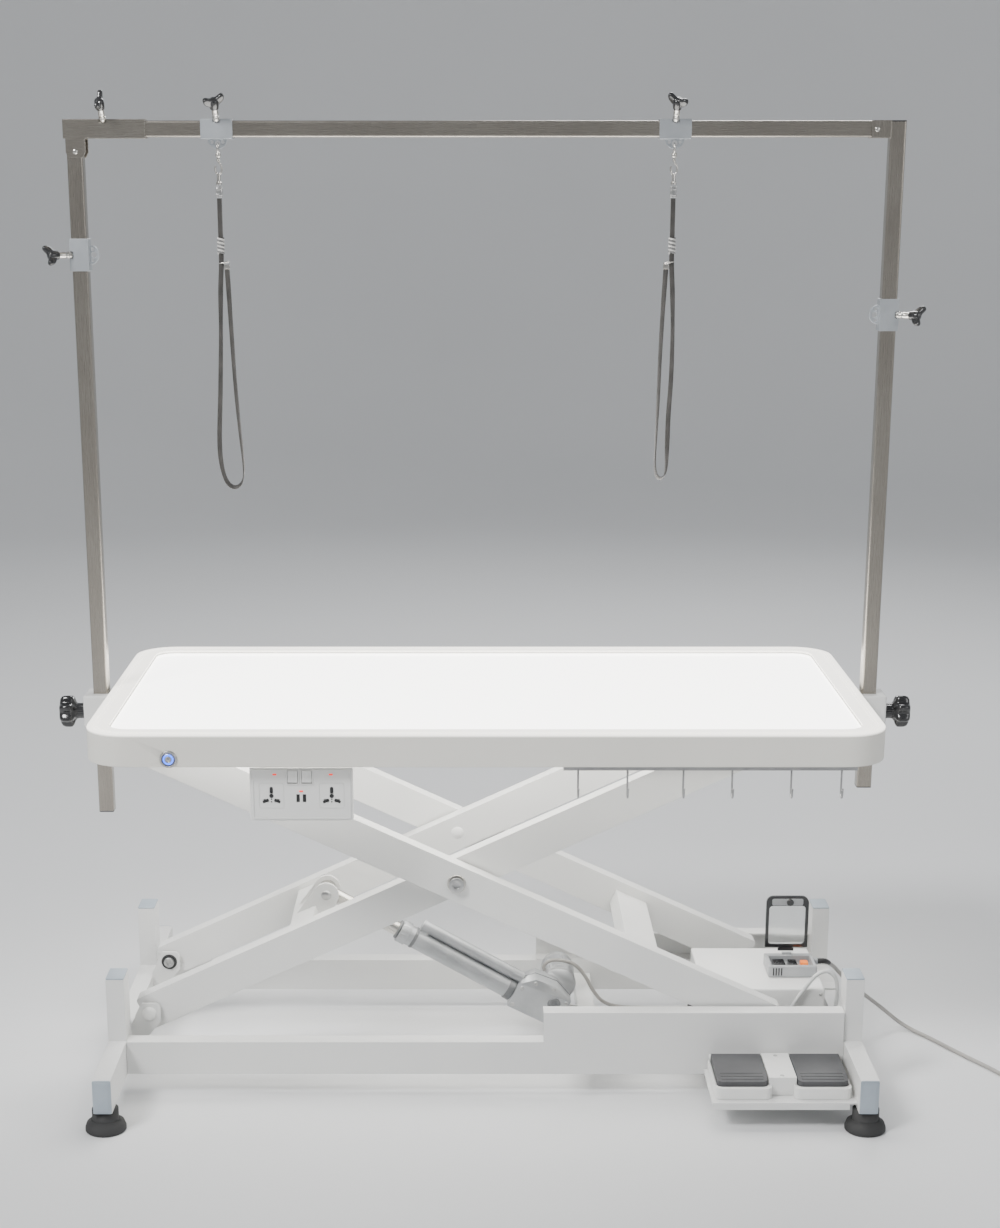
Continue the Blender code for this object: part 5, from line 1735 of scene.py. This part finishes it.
@dataclass
class TableTop:
    """The casing with its lit panel, the power button and the hook rail."""

    half_x: float = 0.625
    half_y: float = 0.325
    corner: float = 0.0675
    top: float = 0.651
    button: Place = (-0.490, -0.3270, 0.612)
    hooks: Sequence[float] = (0.143, 0.220, 0.307, 0.383, 0.475, 0.553)

    def build(self) -> None:
        """Dresses the casing and the panel, and adds the rim's trim, the button and the hooks."""
        # The casing's finish paints a highlight on its top face, as emission.
        refine("table_casing", CASING, "table", "casing_plastic", 40.0)
        dress_nodes(PANEL, "light_panel")
        dress_nodes(WHITE_PAINT, "table_subframe")
        self.rim_lines()
        self.power_button()
        self.hook_tips()

    def rim_lines(self) -> None:
        """Adds the two fine beads that run round the rim, and the seal round the panel."""
        for name, inset, radius in (("outer", 0.0095, 0.0009), ("inner", 0.0150, 0.0007)):
            outline = rounded_rectangle(self.half_x - inset, self.half_y - inset, self.corner - inset, 12)
            points = [(x, y, self.top - 0.0001) for x, y in outline]
            bead = tube(f"rim_bead_{name}", points, radius, cyclic=True)
            # The beads share the casing's painted highlight on top.
            dress(bead, CASING, "table", "casing_plastic")
        outline = rounded_rectangle(0.5899, 0.2899, 0.0325, 10)
        seal = tube("panel_seal", [(x, y, 0.6464) for x, y in outline], 0.0012, cyclic=True)
        dress(seal, CASING, "table", "casing_plastic")

    def power_button(self) -> None:
        """Makes the push button with its lit ring and the bezel round it."""
        face = [(0.0, 0.0012), (0.0010, 0.0012), (0.0016, 0.0008), (0.0036, 0.0008), (0.0042, 0.0014)]
        face += [(0.0050, 0.0014), (0.0056, 0.0006), (0.0085, 0.0), (0.0098, -0.0012), (0.0098, -0.0110)]
        face += [(0.0, -0.0110)]
        cap = turned("power_button_cap", face, self.button, FRONT, 40)
        dress(cap, ROLLER_STEEL, "power_button", "button_steel", "power_button")
        ring = [(0.0060, 0.0012), (0.0078, 0.0012), (0.0082, 0.0006), (0.0082, -0.0010), (0.0060, -0.0010)]
        glow = turned("power_button_light", [*ring, ring[0]], self.button, FRONT, 40)
        dress(glow, BLUE_LIGHT, "power_button", "button_steel")
        x, _, z = self.button
        bezel = [(0.0104, 0.0026), (0.0124, 0.0026), (0.0136, 0.0014), (0.0138, 0.0), (0.0104, 0.0)]
        rim = turned("power_button_bezel", [*bezel, bezel[0]], (x, -0.3250, z), FRONT, 40)
        dress(rim, ROLLER_STEEL, "table", "button_steel")

    def hook_tips(self) -> None:
        """Dresses the rail, and adds round wire hooks with their foot plates."""
        refine("hook_rail", HOOK_WIRE, "table", "hook_white")
        tips = []
        for x in self.hooks:
            tips.append(turned("tip", [(0.0, 0.0022), (0.0016, 0.0018), (0.0022, 0.0), (0.0016, -0.0018),
                                       (0.0, -0.0022)], (x, -0.316, 0.5605), AXIS_Z, 16))
            foot = [(0.0, 0.0), (0.0036, 0.0), (0.0040, -0.0010), (0.0018, -0.0018), (0.0, -0.0018)]
            tips.append(turned("foot", foot, (x, -0.302, 0.5905), AXIS_Z, 20))
        dress(unite("hook_tips", tips), HOOK_WIRE, "table", "hook_white")


@dataclass
class SocketPanel:
    """The socket plate under the front edge, with its switches, sockets and lights."""

    face: float = -0.3045
    rockers: Sequence[float] = (-0.3010, -0.2790)
    sockets: Sequence[float] = (-0.3345, -0.2405)
    ports: Sequence[float] = (-0.2930, -0.2830)
    middle: Place = (-0.2875, 0.550)

    def build(self) -> None:
        """Dresses the plate and adds the frames, holes, ports and lights."""
        dress_nodes(TRIM_WHITE, "socket_plate", "left_rocker", "right_rocker")
        self.frames()
        self.sockets_detail()
        self.lights()

    def frames(self) -> None:
        """Adds the raised module frame and the fine frames round the two rockers."""
        x, z = self.middle
        outer = rounded_rectangle(0.0770, 0.0400, 0.004, 4)
        inner = rounded_rectangle(0.0745, 0.0375, 0.003, 4)
        frames = [frame_ring("module", outer, inner, 0.0012, upright((x, self.face - 0.0004, z)))]
        for rocker in self.rockers:
            outer = rounded_rectangle(0.0100, 0.0132, 0.0016, 3)
            inner = rounded_rectangle(0.0083, 0.0116, 0.0010, 3)
            place = upright((rocker, self.face - 0.0006, 0.5790))
            frames.append(frame_ring("rocker_frame", outer, inner, 0.0016, place))
        for socket in self.sockets:
            outer = rounded_rectangle(0.0195, 0.0205, 0.003, 4)
            inner = rounded_rectangle(0.0189, 0.0199, 0.0026, 4)
            place = upright((socket, self.face - 0.0001, 0.5480))
            frames.append(frame_ring("socket_frame", outer, inner, 0.0006, place))
        dress(unite("socket_panel_frames", frames), TRIM_WHITE, "table", "socket_white")

    def sockets_detail(self) -> None:
        """Adds black plates that paint the shade inside the slots and the round holes, and dark plates set in
        the ports.
        """
        dark = []
        for socket in self.sockets:
            spots = ((0.5475, 0.0034), (0.5422, 0.0011), (0.5380, 0.0011))
            for z, radius in spots:
                place = upright((socket, self.face - 0.0001, z))
                dark.append(plate("hole", arc((0, 0), radius, 0, 345, 23), 0.0010, place, 0.0002))
            for side in (-1, 1):
                lean = upright((socket + side * 0.0090, self.face, 0.5392))
                lean = lean @ Matrix.Rotation(side * math.radians(-24), 4, "Z")
                wide = rounded_rectangle(0.0050, 0.0021, 0.0006, 2)
                dark.append(plate("slot", wide, 0.0012, lean, 0.0002))
            place = upright((socket, self.face, 0.5570))
            dark.append(plate("slot", rounded_rectangle(0.0025, 0.0050, 0.0020, 3), 0.0012, place, 0.0002))
        for port in self.ports:
            place = upright((port, self.face + 0.0022, 0.5435))
            dark.append(plate("port", rounded_rectangle(0.0026, 0.0064, 0.0005, 2), 0.0012, place, 0.0002))
        # The black plates paint the shade inside the socket's holes and slots.
        dress(unite("socket_openings", dark), BLACK_MATTE, "table", "plug_black")

    def lights(self) -> None:
        """Adds the three small red lights."""
        bars = []
        for x, z in ((-0.3290, 0.5820), (-0.2415, 0.5820), (-0.2880, 0.5550)):
            place = upright((x, self.face - 0.0001, z))
            bars.append(plate("bar", rounded_rectangle(0.0030, 0.0011, 0.0008, 3), 0.0014, place, 0.0003))
        dress(unite("socket_lights", bars), RED_LIGHT, "table", "button_steel")


# The overhead frame ---------------------------------------------------------------------------------


@dataclass
class WingScrew:
    """A wing screw through a tube's front upper corner: a nickel stem and a black knob."""

    node: str
    centre: Place
    axis: Vector
    corner: float = 0.0212
    turn: float = 0.0

    def build(self) -> None:
        """Makes the stem and the knob in place of the plain screw."""
        stem = [(0.0, 0.0225), (0.0048, 0.0225), (0.0048, 0.0125), (0.0050, 0.0120), (0.0050, 0.0080)]
        stem += [(0.0043, 0.0070), (0.0043, 0.0062), (0.0046, 0.0042), (0.0055, 0.0030), (0.0055, 0.0)]
        stem += [(0.0052, -0.0020), (0.0, -0.0020)]
        base = Vector(self.centre) + self.axis * self.corner
        nickel = turned(f"{self.node}_stem", stem, base, self.axis, 28)
        dress(nickel, NICKEL, self.node, "snap_nickel")
        hub = [(0.0, 0.0400), (0.0042, 0.0398), (0.0062, 0.0386), (0.0074, 0.0360), (0.0076, 0.0280)]
        hub += [(0.0070, 0.0226), (0.0062, 0.0218), (0.0, 0.0218)]
        parts = [turned("hub", hub, base, self.axis, 28)]
        wing = [(0.0048, 0.0252), (0.0090, 0.0286), (0.0144, 0.0330), (0.0168, 0.0386), (0.0164, 0.0434)]
        wing += [(0.0132, 0.0450), (0.0090, 0.0436), (0.0050, 0.0412), (0.0, 0.0404)]
        mirrored = [(-x, z) for x, z in reversed(wing[:-1])]
        closed = [Vector((x, z, 0.0)) for x, z in [*wing, *mirrored]]
        outline = [(p.x, p.y) for p in smooth_route(closed, 0.0022)]
        flat = Matrix.Rotation(math.pi / 2, 4, "X")
        place = aim(base, self.axis) @ Matrix.Rotation(math.radians(self.turn), 4, "Z") @ flat
        parts.append(plate("wings", outline, 0.0074, place, 0.0022))
        knob = dress(unite(f"{self.node}_knob", parts), BLACK_GLOSS, self.node, "knob_black", self.node)
        LOG.debug("%s stands for %s", knob.name, self.node)


@dataclass
class OverheadFrame:
    """The posts, the crossbar, the corner sleeve, the clamps and everything that holds them."""

    post_x: float = 0.6445
    bar_z: float = 1.547
    bar_clamps: dict[str, float] = field(default_factory=lambda: {"left": -0.421, "right": 0.296})
    post_clamps: dict[str, float] = field(default_factory=lambda: {"left": 1.356, "right": 1.263})

    def build(self) -> None:
        """Dresses the tubes and clamps, and adds plugs, rivets, wing screws and star knobs."""
        dress_nodes(STAINLESS_X, "crossbar", "corner_sleeve")
        dress_nodes(STAINLESS_Z, "left_post", "right_post")
        for kind in ("crossbar_clamp", "post_clamp"):
            dress_nodes(ALUMINIUM, f"{kind}_left", f"{kind}_right")
        dress_nodes(TRIM_WHITE, "left_post_holder", "right_post_holder")
        self.plugs()
        self.rivets()
        self.wing_screws()
        self.star_knobs()

    def plugs(self) -> None:
        """Closes the posts' ends with black plugs."""
        outline = rounded_rectangle(0.0124, 0.0124, 0.003, 4)
        spots = {
            "left_post_foot": (-self.post_x, 0.437 - 0.0010),
            "right_post_foot": (self.post_x, 0.480 - 0.0010),
            "right_post_top": (self.post_x, 1.558 + 0.0010),
        }
        for name, (x, z) in spots.items():
            cap = plate("cap", outline, 0.0020, Matrix.Translation((x, 0.0, z)), 0.0007)
            inner = rounded_rectangle(0.0108, 0.0108, 0.0015, 3)
            down = 0.004 if "foot" in name else -0.004
            neck = plate("neck", inner, 0.0070, Matrix.Translation((x, 0.0, z + down)), 0.0004)
            dress(unite(f"{name}_plug", [cap, neck]), BLACK_MATTE, "overhead_frame", "plug_black")

    def rivets(self) -> None:
        """Adds the rivets and screws of the two top brackets."""
        heads = []
        for y, axis in ((-0.0145, FRONT), (0.0145, AXIS_Y)):
            heads.append(fastener("rivet", Head.DOMED, (-0.6430, y, 1.5130), axis, 0.0042, 0.0020))
        for y, axis in ((-0.0148, FRONT), (0.0148, AXIS_Y)):
            heads.append(fastener("screw", Head.PAN, (0.6110, y, 1.5465), axis, 0.0042, 0.0020))
        for z in (1.5520, 1.5390):
            heads.append(fastener("screw", Head.PAN, (0.6570, 0.0, z), AXIS_X, 0.0032, 0.0016))
        dress(unite("bracket_rivets", heads), NICKEL, "overhead_frame", "snap_nickel")

    def wing_screws(self) -> None:
        """Makes the five wing screws, each turned its own way."""
        up = Vector((0.0, -1.0, 1.0)).normalized()
        turns = {"left": 24.0, "right": -32.0}
        for side, x in self.bar_clamps.items():
            node = f"crossbar_clamp_screw_{side}"
            WingScrew(node, (x, 0.0, self.bar_z), up, turn=turns[side]).build()
        for side, z in self.post_clamps.items():
            way = -1 if side == "left" else 1
            axis = Vector((way, -1.0, 0.0)).normalized()
            node = f"post_clamp_screw_{side}"
            WingScrew(node, (way * self.post_x, 0.0, z), axis, turn=90.0 + way * 12.0).build()
        WingScrew("sleeve_screw", (-0.598, 0.0, self.bar_z), up, corner=0.0205, turn=84.0).build()

    def star_knobs(self) -> None:
        """Makes the star knobs, with their caps and washers."""
        for side, way in (("left", -1), ("right", 1)):
            name = f"{side}_star_knob"
            out = AXIS_X * way
            knob = lofted(f"{name}_body", self.knob_rings(way))
            dress(knob, BLACK_GLOSS, name, "knob_black", name)
            cap = [(0.0, 0.0018), (0.0060, 0.0016), (0.0100, 0.0008), (0.0110, 0.0), (0.0, 0.0)]
            disc = turned(f"{name}_cap", cap, (way * 0.7150, 0.0, 0.610), out, 36)
            dress(disc, BLACK_MATTE, name, "knob_black")
            ring = [(0.0, 0.0012), (0.0150, 0.0012), (0.0155, 0.0006), (0.0155, 0.0), (0.0, 0.0)]
            washer = turned(f"{name}_washer", ring, (way * 0.6730, 0.0, 0.610), out, 36)
            dress(washer, NICKEL, name, "roller_steel")

    @staticmethod
    def knob_rings(way: int) -> list[list[Vector]]:
        """Gives a star knob's rings: a ribbed round hub that widens into seven soft lobes.

        Args:
            way: the side of the table that it stands out from, -1 or 1.

        Returns:
            The rings, from the holder outwards.
        """
        steps, lobes, ribs = 140, 7, 20
        sections = (
            (0.0012, 0.0128, 0.0, 0.0003), (0.0100, 0.0126, 0.0, 0.0003), (0.0140, 0.0130, 0.0002, 0.0003),
            (0.0170, 0.0160, 0.0010, 0.0), (0.0200, 0.0215, 0.0026, 0.0), (0.0228, 0.0238, 0.0034, 0.0),
            (0.0270, 0.0242, 0.0036, 0.0), (0.0340, 0.0240, 0.0035, 0.0), (0.0385, 0.0228, 0.0030, 0.0),
            (0.0412, 0.0200, 0.0020, 0.0), (0.0422, 0.0150, 0.0006, 0.0), (0.0422, 0.0090, 0.0, 0.0),
        )
        rings = []
        for height, radius, lobe, rib in sections:
            ring = []
            for step in range(steps):
                angle = 2 * math.pi * step / steps
                far = radius + lobe * math.cos(lobes * angle) + rib * math.cos(ribs * angle)
                ring.append(Vector((
                    way * (0.6730 + height), far * math.cos(angle), 0.610 + far * math.sin(angle),
                )))
            rings.append(ring)
        return rings


def main() -> None:
    """Builds the studio and every sub-assembly in order."""
    logging.basicConfig(level=logging.INFO, format="%(message)s")
    Studio().build()
    MainsLead().build()
    overhead = OverheadFrame()
    Leash("left", overhead.bar_clamps["left"], 1, LEFT_NOOSE).build()
    Leash("right", overhead.bar_clamps["right"], -1, RIGHT_NOOSE).build()
    Base().build()
    FootSwitch().build()
    ControlBox().build()
    Scissor().build()
    Actuator().build()
    TableTop().build()
    SocketPanel().build()
    overhead.build()


if __name__ == "__main__":
    main()
